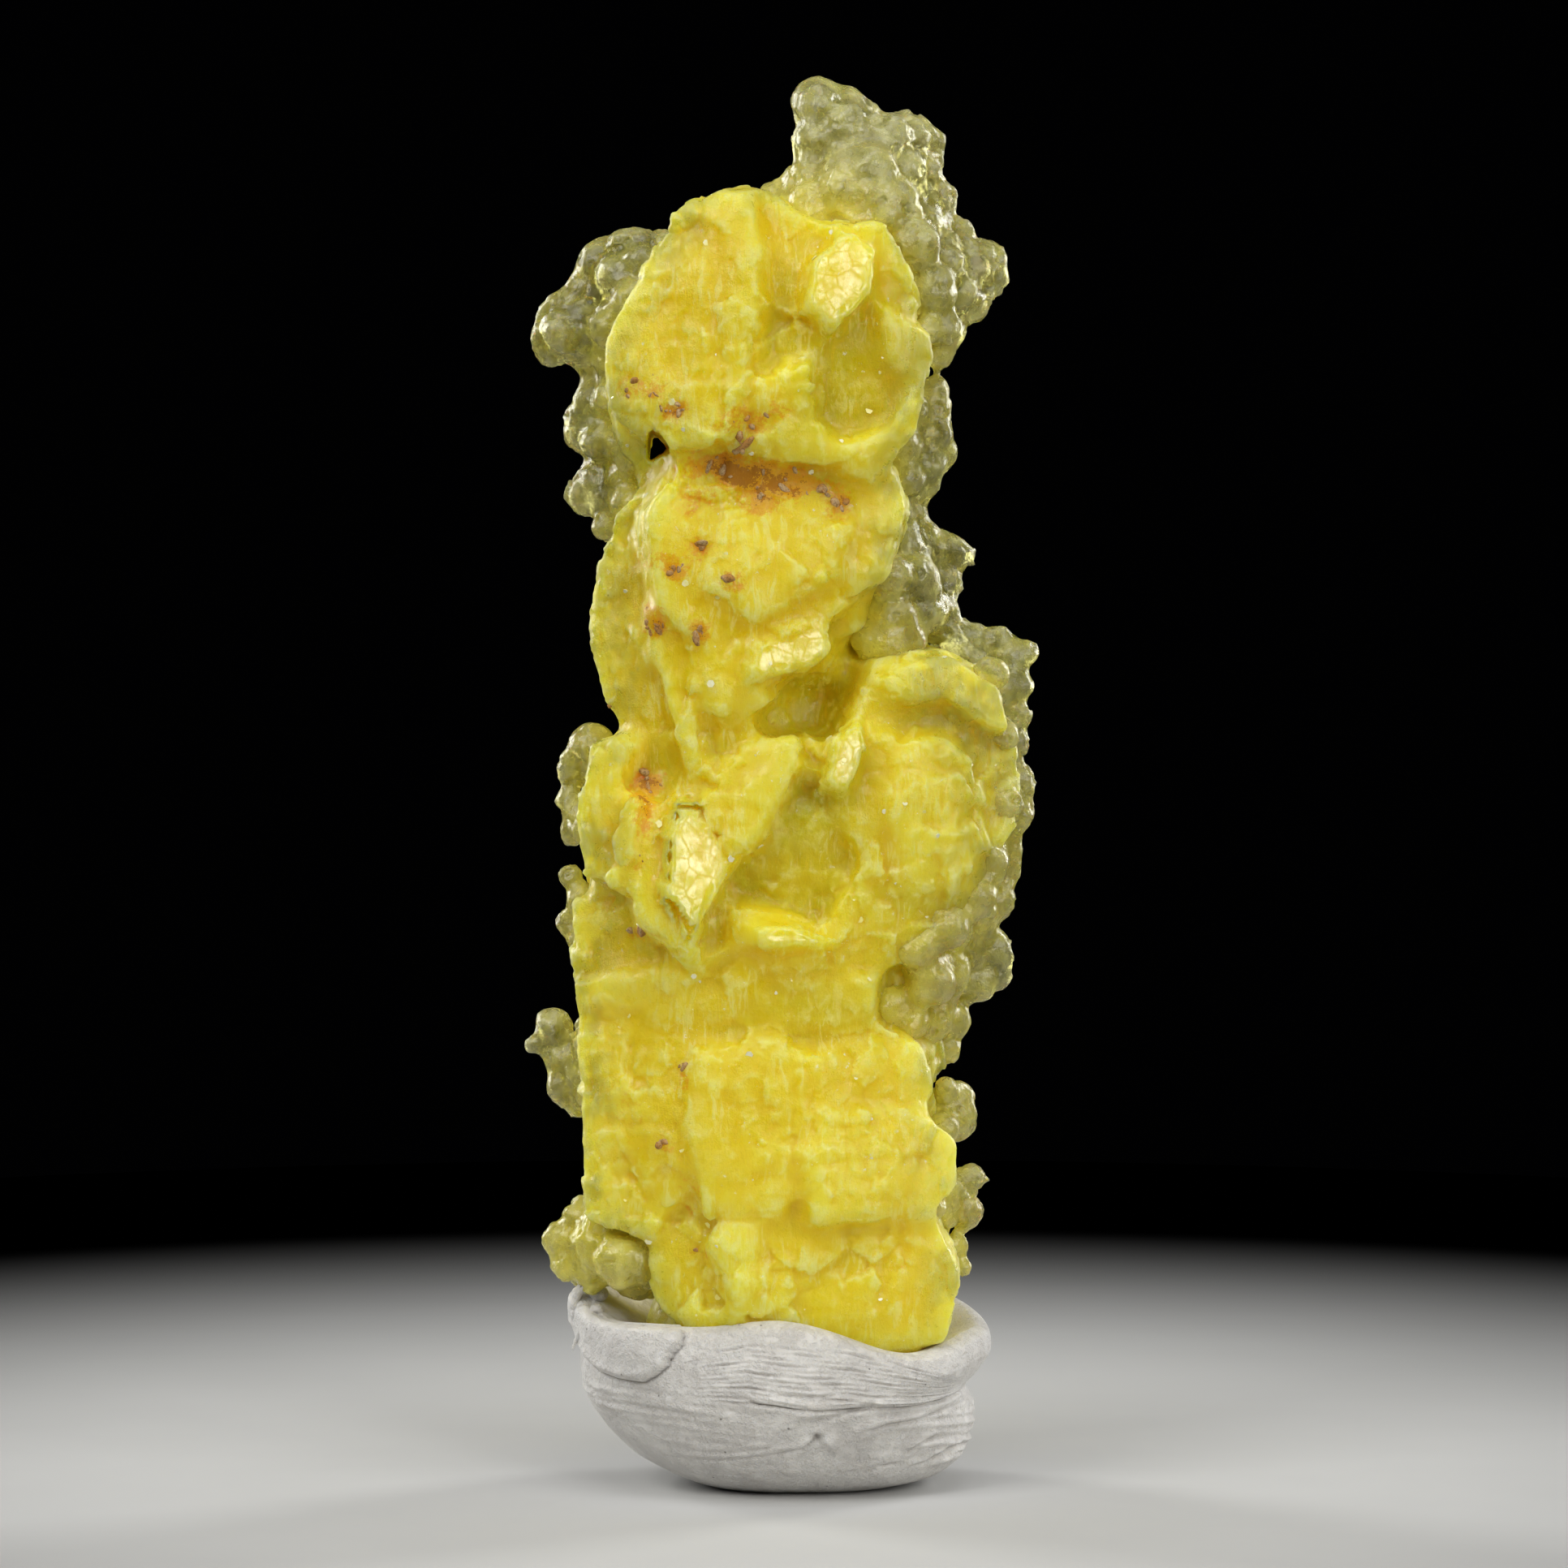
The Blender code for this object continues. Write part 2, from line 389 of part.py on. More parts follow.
def add_side_crystals(mesh):
    """Tabular crystals of every size over the sides and the back, many with a step on their face."""
    rng = random.Random(SIDE_SEED)
    for index in range(SIDE_COUNT):
        height = SIDE_LOW + (SIDE_HIGH - SIDE_LOW) * (index + rng.random()) / SIDE_COUNT
        direction = SIDE_FROM + (SIDE_TO - SIDE_FROM) * ((index * GOLDEN_SHARE + 0.1 * rng.random()) % 1.0)
        size = SIDE_SIZES[0] + (SIDE_SIZES[1] - SIDE_SIZES[0]) * rng.random() ** 1.6
        place, outward = skin_point(direction, height, 0.4 + 0.25 * rng.random())
        facing = (outward + rng.uniform(-16.0, 16.0), rng.uniform(-18.0, 14.0))
        outline = hexagon(size, size * rng.uniform(0.9, 1.25), index)
        turn = rng.uniform(-40.0, 40.0)
        corners, inward = side_corners(place, facing, turn, outline)
        add_slab(mesh, corners, inward * SIDE_THICKNESS, SIDE_FLARE)
        if size > STEPPED_FROM:
            raised = place - inward * STEP_RISE
            step = [(x * STEP_SIZE + size * 0.12, z * STEP_SIZE) for x, z in outline]
            corners, inward = side_corners(raised, facing, turn, step)
            add_slab(mesh, corners, inward * SIDE_THICKNESS, SIDE_FLARE)


def add_bunches(mesh):
    """Bunches of clear lobes over the sides and the back."""
    rng = random.Random(BUNCH_SEED)
    for index in range(BUNCHES):
        direction = BUNCH_FROM + (BUNCH_TO - BUNCH_FROM) * ((index * GOLDEN_SHARE + 0.3) % 1.0)
        height = BUNCH_LOW + (BUNCH_HIGH - BUNCH_LOW) * (index + rng.random()) / BUNCHES
        for _ in range(BUNCH_LOBES):
            radius = rng.uniform(*BUNCH_RADII)
            around = direction + rng.uniform(-BUNCH_TURN, BUNCH_TURN)
            level = height + rng.uniform(-BUNCH_REACH, BUNCH_REACH)
            place, _ = skin_point(around, level, radius * 0.45)
            add_lobe(mesh, place.x, place.y, place.z, radius)


def add_lobe(mesh, x, y, z, radius):
    """One clear lobe, a little flatter from front to back."""
    shape = Matrix.Translation(Vector((x, y, z)) * MM) @ Matrix.Diagonal((1.0, LOBE_DEPTH, 1.0, 1.0))
    bmesh.ops.create_icosphere(mesh, subdivisions=2, radius=radius * MM, matrix=shape)


def add_edge_lobes(mesh):
    """The lobes seen round the edges of the best side, each with others before and behind it."""
    rng = random.Random(LOBE_SEED)
    for bunch in LOBES.values():
        for x, y, z, radius in bunch:
            add_lobe(mesh, x, y, z, radius + LOBE_GROWTH)
            if radius < TWINNED_FROM:
                continue
            middle = girth_at(z)[0]
            for way in (-1.0, 1.0):
                inner_x = x + (middle - x) * rng.uniform(0.04, 0.16)
                inner_z = z + rng.uniform(-0.9, 0.5)
                inner_y = y + way * radius * rng.uniform(0.8, 1.3)
                add_lobe(mesh, inner_x, inner_y, inner_z, radius * rng.uniform(0.72, 0.92))


def add_foot(mesh):
    """The tapered stub that stands in the tack."""
    height = FOOT_TOP - FOOT_BOTTOM
    x, y = FOOT["centre"]
    made = bmesh.ops.create_cone(
        mesh, cap_ends=True, segments=FOOT["sides"], radius1=1.0, radius2=1.0, depth=height * MM,
        matrix=Matrix.Translation((0.0, 0.0, (FOOT_BOTTOM + height / 2.0) * MM)),
    )
    for corner in made["verts"]:
        wide, deep = FOOT["top"] if corner.co.z > (FOOT_BOTTOM + height / 2.0) * MM else FOOT["bottom"]
        corner.co.x = (x + corner.co.x * wide) * MM
        corner.co.y = (y + corner.co.y * deep) * MM


def fused(name, mesh, voxel, triangles, into):
    """Turns overlapping closed shapes into one closed body with few enough faces."""
    bmesh.ops.recalc_face_normals(mesh, faces=mesh.faces)
    data = bpy.data.meshes.new(name)
    mesh.to_mesh(data)
    mesh.free()
    body = bpy.data.objects.new(name, data)
    into.objects.link(body)
    remesh = body.modifiers.new("fuse", "REMESH")
    remesh.mode = "VOXEL"
    remesh.voxel_size = voxel * MM
    bpy.context.view_layer.update()
    graph = bpy.context.evaluated_depsgraph_get()
    fine = bpy.data.meshes.new_from_object(body.evaluated_get(graph))
    body.modifiers.clear()
    body.data = fine
    keep_largest_island(fine)
    count = sum(len(face.vertices) - 2 for face in fine.polygons)
    thin = body.modifiers.new("thin out", "DECIMATE")
    thin.ratio = min(1.0, triangles / count)
    return body


def keep_largest_island(data):
    """Drops what isn't joined to the main body."""
    mesh = bmesh.new()
    mesh.from_mesh(data)
    left = set(mesh.verts)
    islands = []
    while left:
        front = [left.pop()]
        island = list(front)
        while front:
            reached = {e.other_vert(v) for v in front for e in v.link_edges} & left
            left -= reached
            island += reached
            front = list(reached)
        islands.append(island)
    islands.sort(key=len)
    for island in islands[:-1]:
        bmesh.ops.delete(mesh, geom=island, context="VERTS")
    mesh.to_mesh(data)
    mesh.free()


def cut_window(body, helpers):
    """Opens the window through the body with a slightly rising rod."""
    mesh = bmesh.new()
    x, z, radius = WINDOW
    lean = Matrix.Rotation(math.radians(90.0 - WINDOW_RISE), 4, "X")
    place = Matrix.Translation(Vector((x, 0.0, z)) * MM) @ lean
    bmesh.ops.create_cone(
        mesh, cap_ends=True, segments=8, radius1=radius * MM, radius2=radius * MM, depth=30.0 * MM,
        matrix=place,
    )
    data = bpy.data.meshes.new("window_cutter")
    mesh.to_mesh(data)
    mesh.free()
    cutter = bpy.data.objects.new("window_cutter", data)
    helpers.objects.link(cutter)
    cutter.display_type = "WIRE"
    cutter.hide_render = True
    window = body.modifiers.new("window", "BOOLEAN")
    window.operation = "DIFFERENCE"
    window.solver = "EXACT"
    window.object = cutter


def make_cluster(into, helpers):
    """The whole crystal cluster, grown together as one body."""
    mesh = bmesh.new()
    for centre, half_sizes, corners, seed in CHUNKS.values():
        add_chunk(mesh, centre, half_sizes, corners, seed)
    add_foot(mesh)
    for forward, tilt, thickness, outline in FRONT_CRYSTALS.values():
        corners, inward = front_corners(outline, forward, tilt)
        add_slab(mesh, corners, inward * thickness, FRONT_FLARE)
    add_side_crystals(mesh)
    add_edge_lobes(mesh)
    add_bunches(mesh)
    body = fused("brucite_cluster", mesh, CLUSTER_VOXEL, CLUSTER_TRIANGLES, into)
    cut_window(body, helpers)
    return body


def turned_between(angle, right, back, left, front):
    """Blends four values given for the right, back, left and front to any direction round the tack."""
    across, along = math.cos(angle), math.sin(angle)
    side = (right if across > 0.0 else left) * across * across
    return side + (back if along > 0.0 else front) * along * along


def bell(distance, spread):
    """A smooth bump that is 1 at no distance."""
    return math.exp(-((distance / spread) ** 2))


def angle_apart(angle, degrees):
    """How far an angle in radians is from a direction in degrees, in degrees."""
    return (math.degrees(angle) - degrees + 180.0) % 360.0 - 180.0


def tack_point(angle, step):
    """A point of the tack's skin: the angle round it, and the step along its rings."""
    lower = min(int(step), len(TACK_RINGS) - 2)
    share = step - lower
    z0, radii0, waves0 = TACK_RINGS[lower]
    z1, radii1, waves1 = TACK_RINGS[lower + 1]
    radius = (1.0 - share) * turned_between(angle, *radii0) + share * turned_between(angle, *radii1)
    height = (1.0 - share) * z0 + share * z1
    waves = (1.0 - share) * waves0 + share * waves1
    height += waves * sum(rise * bell(angle_apart(angle, at), wide) for at, wide, rise in RIM_WAVES)
    if height > 0.0 and lower < TACK_OUTSIDE:
        for at, level, wide, tall, push in TACK_BULGES:
            radius += push * bell(angle_apart(angle, at), wide) * bell(height - level, tall)
    return Vector((TACK_CENTRE_X + radius * math.cos(angle), radius * math.sin(angle), height)) * MM


def make_tack(into, cluster, helpers):
    """The tack: a sphere drawn out into the pressed lump, with a socket that fits the cluster's foot."""
    rings = len(TACK_RINGS) - 1
    mesh = bmesh.new()
    bmesh.ops.create_uvsphere(mesh, u_segments=TACK_SIDES, v_segments=rings, radius=1.0)
    for corner in mesh.verts:
        step = round(rings * (1.0 - math.acos(max(-1.0, min(1.0, corner.co.z))) / math.pi))
        corner.co = tack_point(math.atan2(corner.co.y, corner.co.x), step)
    bmesh.ops.recalc_face_normals(mesh, faces=mesh.faces)
    data = bpy.data.meshes.new("putty_base")
    mesh.to_mesh(data)
    mesh.free()
    tack = bpy.data.objects.new("putty_base", data)
    into.objects.link(tack)

    cutter = cluster.copy()
    cutter.name = "socket_cutter"
    cutter.data = cluster.data.copy()
    cutter.modifiers.clear()
    helpers.objects.link(cutter)
    cutter.display_type = "WIRE"
    cutter.hide_render = True
    grow = cutter.modifiers.new("gap", "DISPLACE")
    grow.strength = SOCKET_GAP * MM
    grow.mid_level = 0.0
    whole = cutter.modifiers.new("whole", "REMESH")
    whole.mode = "VOXEL"
    whole.voxel_size = SOCKET_VOXEL * MM
    thin = cutter.modifiers.new("thin out", "DECIMATE")
    thin.ratio = SOCKET_THINNING

    socket = tack.modifiers.new("socket", "BOOLEAN")
    socket.operation = "DIFFERENCE"
    socket.solver = "EXACT"
    socket.object = cutter
    return tack


def main():
    """Builds the cluster and the tack that holds it."""
    clear_scene()
    parts = collection("brucite_specimen")
    helpers = collection("helpers", hidden=True)
    cluster = make_cluster(parts, helpers)
    cluster.data.materials.append(surface("brucite", YELLOW, 0.35))
    tack = make_tack(parts, cluster, helpers)
    tack.data.materials.append(surface("white_tack", WHITE_TACK, 0.7))


main()
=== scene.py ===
"""Brucite specimen: the looks of the yellow crystals, the clear lobes and the tack that holds them."""

import math
import random

import bmesh
import bpy
import numpy as np
from bpy.props import FloatProperty, FloatVectorProperty, IntProperty, PointerProperty
from mathutils import Matrix, Vector
from mathutils.bvhtree import BVHTree


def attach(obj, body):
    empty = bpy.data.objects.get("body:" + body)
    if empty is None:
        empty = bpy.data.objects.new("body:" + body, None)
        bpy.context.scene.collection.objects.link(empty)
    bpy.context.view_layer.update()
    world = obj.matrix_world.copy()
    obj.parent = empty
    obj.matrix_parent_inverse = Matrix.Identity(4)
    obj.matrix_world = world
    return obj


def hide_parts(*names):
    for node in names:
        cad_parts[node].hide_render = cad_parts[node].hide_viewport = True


bl_info = {
    "name": "Brucite specimen",
    "version": (1, 0, 0),
    "blender": (4, 5, 0),
    "location": "3D View > Sidebar > Specimen",
    "description": "Builds a yellow brucite cluster in its lump of mineral tack",
    "category": "Object",
}

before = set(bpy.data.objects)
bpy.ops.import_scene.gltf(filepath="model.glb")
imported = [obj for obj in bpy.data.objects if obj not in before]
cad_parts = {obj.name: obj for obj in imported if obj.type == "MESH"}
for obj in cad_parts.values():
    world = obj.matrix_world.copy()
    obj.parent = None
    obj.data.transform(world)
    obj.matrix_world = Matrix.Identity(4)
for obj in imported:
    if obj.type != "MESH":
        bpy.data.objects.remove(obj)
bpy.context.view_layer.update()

MM = 0.001
REFRACTION = 1.57
FULL_TURN = 6.28
SENSOR_WIDTH = 36.0
STUDIO_DARK = (0.0004, 0.0004, 0.0005, 1.0)
GOLDEN_ANGLE = math.pi * (3.0 - math.sqrt(5.0))
GOLDEN_SHARE = (math.sqrt(5.0) - 1.0) / 2.0

# The massive brucite, as faceted chunks: centre, half sizes, corners, seed.
CHUNKS = [
    ((-1.0, 0.0, 70.6), (9.0, 7.0, 8.8), 26, 11),
    ((3.4, 0.2, 76.6), (5.2, 4.2, 3.8), 18, 12),
    ((-1.6, 0.0, 61.2), (7.4, 6.2, 6.2), 20, 13),
    ((-2.2, 0.0, 54.4), (8.4, 6.8, 7.6), 24, 14),
    ((7.6, 0.2, 42.8), (5.8, 6.2, 8.4), 24, 15),
    ((-7.6, 0.2, 38.6), (4.9, 6.0, 9.0), 22, 16),
    ((-0.4, 1.0, 42.6), (7.4, 6.0, 9.2), 24, 17),
    ((-1.2, 0.4, 31.6), (10.6, 6.6, 6.4), 26, 18),
    ((-1.2, 0.2, 21.8), (10.6, 7.4, 9.0), 30, 19),
    ((1.0, 0.2, 13.6), (8.8, 6.8, 6.0), 24, 20),
]

# The foot that the tack holds: half widths at its top and at its bottom, and its sides.
FOOT = {"centre": (1.6, 0.0), "top": (6.8, 5.4), "bottom": (4.6, 3.6), "sides": 9}
FOOT_BOTTOM = 5.4
FOOT_TOP = 14.0

# How much wider a front crystal gets on its way in, and the sizes of the growth steps on its face.
FRONT_FLARE = 1.12
FRONT_STEPS = (0.86, 0.58)
POLISHED_STEPS = (0.8,)
FRONT_STEP_SEED = 31
SIDE_STEP_SEED = 7

# The skins are fused coarser while they are rough: multiples of the fineness.
BODY_COARSE = 1.5
LOBE_COARSE = 1.4
KNOB_COARSE = 1.2
KNOB_ROOM = 0.16
CURL_SOFTENING = 12

# Rounds of averaging that tell the fine shape from its surroundings, and the broad shape.
FINE_ROUNDS = 10
BROAD_ROUNDS = 220

# Seeds of what is scattered.
KNOB_SEED = 4
FLAKE_SEED = 3
GRAIN_TURN_SEED = 5

# Crystals of the best side: how far forward the face stands, its tilt to the side and up in degrees,
# the thickness, and the outline as (x, z) points.
FRONT_CRYSTALS = {
    "shoulder_slab": (-7.6, (-21, 8), 4.6, [(-6.7, 78.4), (-4.3, 79.8), (-2.3, 79.6),
        (-1.6, 76.7), (-1.9, 71.2), (-3.6, 64.9), (-6.9, 64.3), (-10.4, 66.0), (-11.1, 68.2),
        (-10.8, 70.9), (-8.8, 74.9)]),
    "brow_valley": (-6.9, (4, 6), 4.0, [(-2.6, 79.6), (-0.1, 79.1), (3.2, 77.2), (1.7, 74.2),
        (1.2, 70.2), (-2.6, 67.7), (-2.1, 75.7)]),
    "brow_glint": (-8.7, (12, 12), 3.0, [(4.0, 77.4), (5.6, 76.4), (5.4, 73.8), (3.0, 71.3),
        (1.4, 72.8), (1.8, 75.6)]),
    "brow_right": (-6.4, (25, 6), 4.0, [(2.2, 77.9), (6.4, 77.8), (8.8, 73.2), (6.9, 71.9),
        (4.7, 72.9), (3.4, 77.2)]),
    "hollow_floor": (-6.2, (14, -6), 4.0, [(1.4, 71.9), (5.7, 72.7), (9.1, 70.9), (7.9, 65.7),
        (3.7, 64.4), (1.2, 66.4)]),
    "glass_shard": (-6.3, (30, 4), 3.6, [(5.9, 73.2), (8.7, 71.2), (9.3, 69.5), (8.1, 67.7),
        (6.3, 69.7)]),
    "lip_left": (-8.3, (4, -14), 4.0, [(-3.3, 65.7), (-1.6, 68.2), (1.7, 69.4), (1.9, 66.2),
        (4.2, 62.6), (-0.1, 63.2), (-4.1, 64.5)]),
    "lip_right": (-6.9, (26, -8), 4.6, [(3.4, 64.4), (6.4, 65.4), (8.7, 69.2), (8.1, 65.2),
        (6.6, 63.0), (5.4, 62.0), (3.9, 62.5)]),
    "under_ledge": (-6.7, (-5, -16), 3.5, [(-6.9, 64.5), (-4.1, 64.5), (0.4, 62.7), (-0.3, 61.4),
        (-3.6, 62.7), (-6.4, 63.4)]),
    "fan_slab": (-7.0, (6, 6), 5.0, [(-6.4, 63.4), (-0.3, 62.2), (6.6, 63.1), (7.4, 60.7),
        (6.3, 56.5), (2.5, 53.7), (-1.8, 50.4), (-4.8, 51.9), (-7.6, 54.7), (-8.3, 60.2)]),
    "fan_boss": (-7.7, (5, 12), 4.0, [(-4.3, 60.2), (-0.3, 61.9), (4.4, 59.9), (3.4, 56.7),
        (-1.8, 53.6), (-4.7, 55.7)]),
    "left_column": (-4.3, (-29, 3), 5.6, [(-10.3, 60.2), (-8.1, 61.2), (-7.3, 55.2),
        (-5.3, 45.7), (-8.3, 46.4), (-11.1, 48.7), (-12.1, 53.4), (-11.4, 57.2)]),
    "left_blade": (-7.0, (-22, 0), 4.6, [(-8.8, 54.8), (-7.6, 54.4), (-4.9, 44.7), (-5.9, 44.1)]),
    "inner_blade": (-7.4, (-15, 10), 4.0, [(-7.3, 54.9), (-5.8, 53.9), (-3.1, 49.2),
        (-3.8, 47.9), (-5.8, 49.7)]),
    "step_plate": (-8.0, (13, 12), 3.5, [(2.5, 54.3), (3.1, 52.2), (1.7, 50.9), (-2.1, 50.4),
        (-1.8, 52.2)]),
    "tri_plate": (-7.5, (-5, -8), 3.5, [(-4.7, 52.0), (-2.6, 50.8), (-0.6, 48.8), (-3.3, 46.9),
        (-5.4, 48.2)]),
    "stain_floor": (-4.9, (-24, 0), 4.6, [(-10.2, 47.8), (-7.0, 47.6), (-5.6, 43.2),
        (-9.6, 43.0)]),
    "cap_crystal": (-4.6, (24, 7), 6.1, [(5.7, 51.2), (9.9, 52.0), (13.2, 50.2), (14.5, 45.2),
        (14.4, 41.7), (11.7, 36.1), (7.2, 35.9), (4.2, 40.7), (3.7, 45.7)]),
    "cap_face": (-6.1, (24, 3), 4.6, [(7.0, 46.1), (9.9, 46.8), (11.5, 45.2), (12.8, 39.9),
        (10.4, 37.0), (7.9, 36.9), (6.3, 42.2)]),
    "cap_rim": (-5.5, (23, 16), 4.6, [(5.9, 50.4), (9.9, 51.7), (13.2, 49.7), (14.0, 46.9),
        (12.8, 47.2), (9.7, 49.7), (6.9, 49.1)]),
    "cap_shoulder": (-6.9, (1, 6), 4.0, [(3.2, 43.9), (4.7, 47.2), (6.9, 46.9), (6.2, 42.2),
        (4.8, 39.7), (3.4, 41.7)]),
    "sliver_glint": (-8.5, (12, 12), 3.0, [(4.7, 47.9), (5.1, 46.2), (3.9, 43.3), (2.5, 44.4),
        (3.2, 46.9)]),
    "pocket_mass": (-6.0, (18, -6), 5.1, [(4.8, 39.2), (6.9, 38.6), (10.4, 37.0), (11.4, 35.1),
        (7.7, 32.6), (3.9, 32.9), (3.2, 36.1)]),
    "pale_plate": (-8.0, (-9, 12), 4.0, [(-1.8, 46.5), (0.8, 47.2), (0.9, 45.2), (-1.8, 40.4),
        (-3.1, 39.4), (-4.8, 42.2), (-4.3, 44.9)]),
    "left_bar": (-6.3, (-29, 3), 5.1, [(-11.9, 46.3), (-10.2, 46.8), (-9.5, 46.1), (-10.4, 42.2),
        (-10.8, 38.4), (-12.5, 38.2), (-12.7, 41.7)]),
    "middle_bar": (-7.6, (-21, 0), 4.6, [(-9.5, 43.2), (-8.7, 43.0), (-9.3, 38.9), (-10.1, 37.0),
        (-11.0, 37.5), (-10.2, 41.2)]),
    "glint_back": (-8.0, (-1, 12), 4.0, [(-6.6, 43.7), (-5.1, 43.2), (-2.9, 39.4), (-4.8, 36.1),
        (-5.8, 33.3), (-8.8, 35.8), (-9.2, 37.4), (-7.7, 41.9)]),
    "glint_front": (-8.9, (12, 12), 3.0, [(-6.6, 42.8), (-4.9, 42.6), (-2.9, 39.5), (-5.5, 34.7),
        (-7.2, 37.0), (-7.0, 40.4)]),
    "hollow_back": (-6.1, (3, -8), 4.0, [(-1.6, 40.4), (0.8, 42.9), (4.6, 41.6), (4.2, 37.9),
        (0.7, 35.6), (-2.7, 36.9)]),
    "ledge_mass": (-7.4, (4, 4), 4.0, [(-3.1, 36.6), (-0.3, 36.1), (3.9, 34.6), (3.9, 32.9),
        (-0.3, 32.4), (-3.3, 33.9)]),
    "ledge_glint": (-8.8, (12, 12), 3.0, [(-1.9, 35.5), (0.3, 35.4), (3.3, 34.4), (2.4, 33.9),
        (-1.3, 34.2)]),
    "left_flank": (-4.2, (-27, 6), 5.1, [(-13.2, 36.6), (-9.3, 37.4), (-7.8, 34.6), (-9.8, 32.2),
        (-13.1, 31.5)]),
    "left_wedge": (-5.8, (-19, -12), 4.6, [(-13.1, 31.5), (-8.8, 32.4), (-4.0, 33.6),
        (-5.8, 31.4), (-10.1, 29.1), (-12.8, 29.9)]),
    "bridge": (-6.7, (-1, -6), 4.5, [(-4.0, 33.6), (-0.3, 32.6), (5.6, 32.0), (5.4, 29.7),
        (1.2, 27.2), (-5.3, 27.7), (-8.3, 29.7)]),
    "lower_left": (-5.9, (-24, 3), 5.6, [(-12.8, 30.2), (-8.3, 29.9), (-4.9, 27.2), (-4.9, 21.2),
        (-8.3, 15.9), (-12.3, 17.0), (-12.5, 22.2)]),
    "lower_middle": (-8.1, (-2, 6), 5.0, [(-5.3, 27.9), (-0.8, 28.4), (2.2, 27.2), (1.7, 21.2),
        (-0.3, 17.7), (-4.8, 17.7), (-5.8, 22.7)]),
    "lower_facet": (-7.5, (18, 6), 5.6, [(1.2, 21.2), (2.2, 23.9), (8.2, 24.1), (10.7, 21.9),
        (10.7, 19.4), (8.9, 17.3), (1.9, 17.2)]),
    "lower_brow": (-6.5, (18, 10), 5.1, [(2.2, 27.2), (5.2, 29.2), (8.4, 27.9), (9.3, 24.9),
        (8.2, 23.7), (1.7, 23.2)]),
    "foot_wedge": (-8.6, (9, 6), 4.0, [(-3.0, 17.4), (-1.4, 18.7), (-1.3, 13.7), (-2.8, 12.2),
        (-4.7, 15.8)]),
    "foot_left": (-6.7, (-14, 3), 5.0, [(-8.5, 14.6), (-6.7, 16.4), (-4.3, 15.8), (-3.1, 12.2),
        (-3.3, 9.9), (-5.8, 9.9), (-8.0, 12.0)]),
    "foot_right": (-7.2, (10, 0), 5.0, [(-1.8, 17.7), (5.7, 17.2), (9.2, 17.4), (10.8, 13.9),
        (9.9, 9.4), (4.7, 8.9), (-3.3, 9.4), (-3.1, 12.7)]),
    "foot_corner": (-4.0, (29, 0), 5.6, [(8.2, 14.2), (10.9, 15.2), (10.5, 10.2), (8.9, 9.4),
        (7.8, 11.7)]),
    "plate_joint": (-6.4, (-8, 4), 4.0, [(-6.5, 48.0), (-2.0, 48.6), (-1.0, 45.5), (-3.0, 43.5),
        (-6.5, 44.0)]),
    "wedge_joint": (-6.6, (0, 0), 4.0, [(-5.8, 36.5), (-2.6, 37.0), (-2.4, 33.4), (-5.4, 32.6)]),
    "foot_joint": (-6.7, (-6, 0), 4.0, [(-6.5, 18.6), (-1.0, 18.8), (-1.6, 15.0), (-5.5, 15.0)]),
}

# Faces that are flat and shiny enough to mirror the light.
POLISHED = ("brow_glint", "glint_back", "glint_front", "ledge_glint", "sliver_glint", "step_plate")

# The body's girth at each height, for the crystals and lobes of the other sides:
# height, middle in X, half width, half depth.
GIRTH = [
    (8.0, 1.4, 8.0, 6.4), (13.0, 0.9, 9.0, 7.4), (19.0, -0.8, 9.8, 7.9), (25.0, -1.3, 10.0, 7.9),
    (31.0, -1.0, 10.4, 7.3), (37.0, 0.2, 11.4, 7.5), (43.0, 0.6, 11.6, 7.7), (49.0, -0.6, 9.2, 7.0),
    (55.0, -2.4, 8.0, 7.3), (61.0, -1.6, 7.2, 6.8), (66.0, -1.4, 8.2, 7.3), (71.0, -1.0, 9.0, 7.5),
    (76.0, 0.6, 7.2, 6.0), (79.0, 1.4, 5.0, 4.4),
]

# Crystals of the other sides, spread by a seed between two directions round from the right.
SIDE_COUNT = 78
SIDE_SEED = 5
SIDE_FROM, SIDE_TO = -36.0, 216.0
SIDE_LOW, SIDE_HIGH = 9.0, 77.0
SIDE_SIZES = (2.0, 5.8)
SIDE_TAPER_FROM = 70.0
SIDE_TOP_LOSS = 0.55
SIDE_THICKNESS = 3.6
SIDE_FLARE = 1.12
STEP_SIZE = 0.62
STEP_RISE = 0.75
STEPPED_FROM = 3.0

# Bunches of lobes on the other sides: how many, the lobes in each, their radii and their spread.
BUNCHES = 16
BUNCH_LOBES = 6
BUNCH_SEED = 12
BUNCH_RADII = (1.0, 2.1)
BUNCH_FROM, BUNCH_TO = 20.0, 160.0
BUNCH_LOW, BUNCH_HIGH = 13.0, 75.0
BUNCH_TURN = 20.0
BUNCH_REACH = 3.2

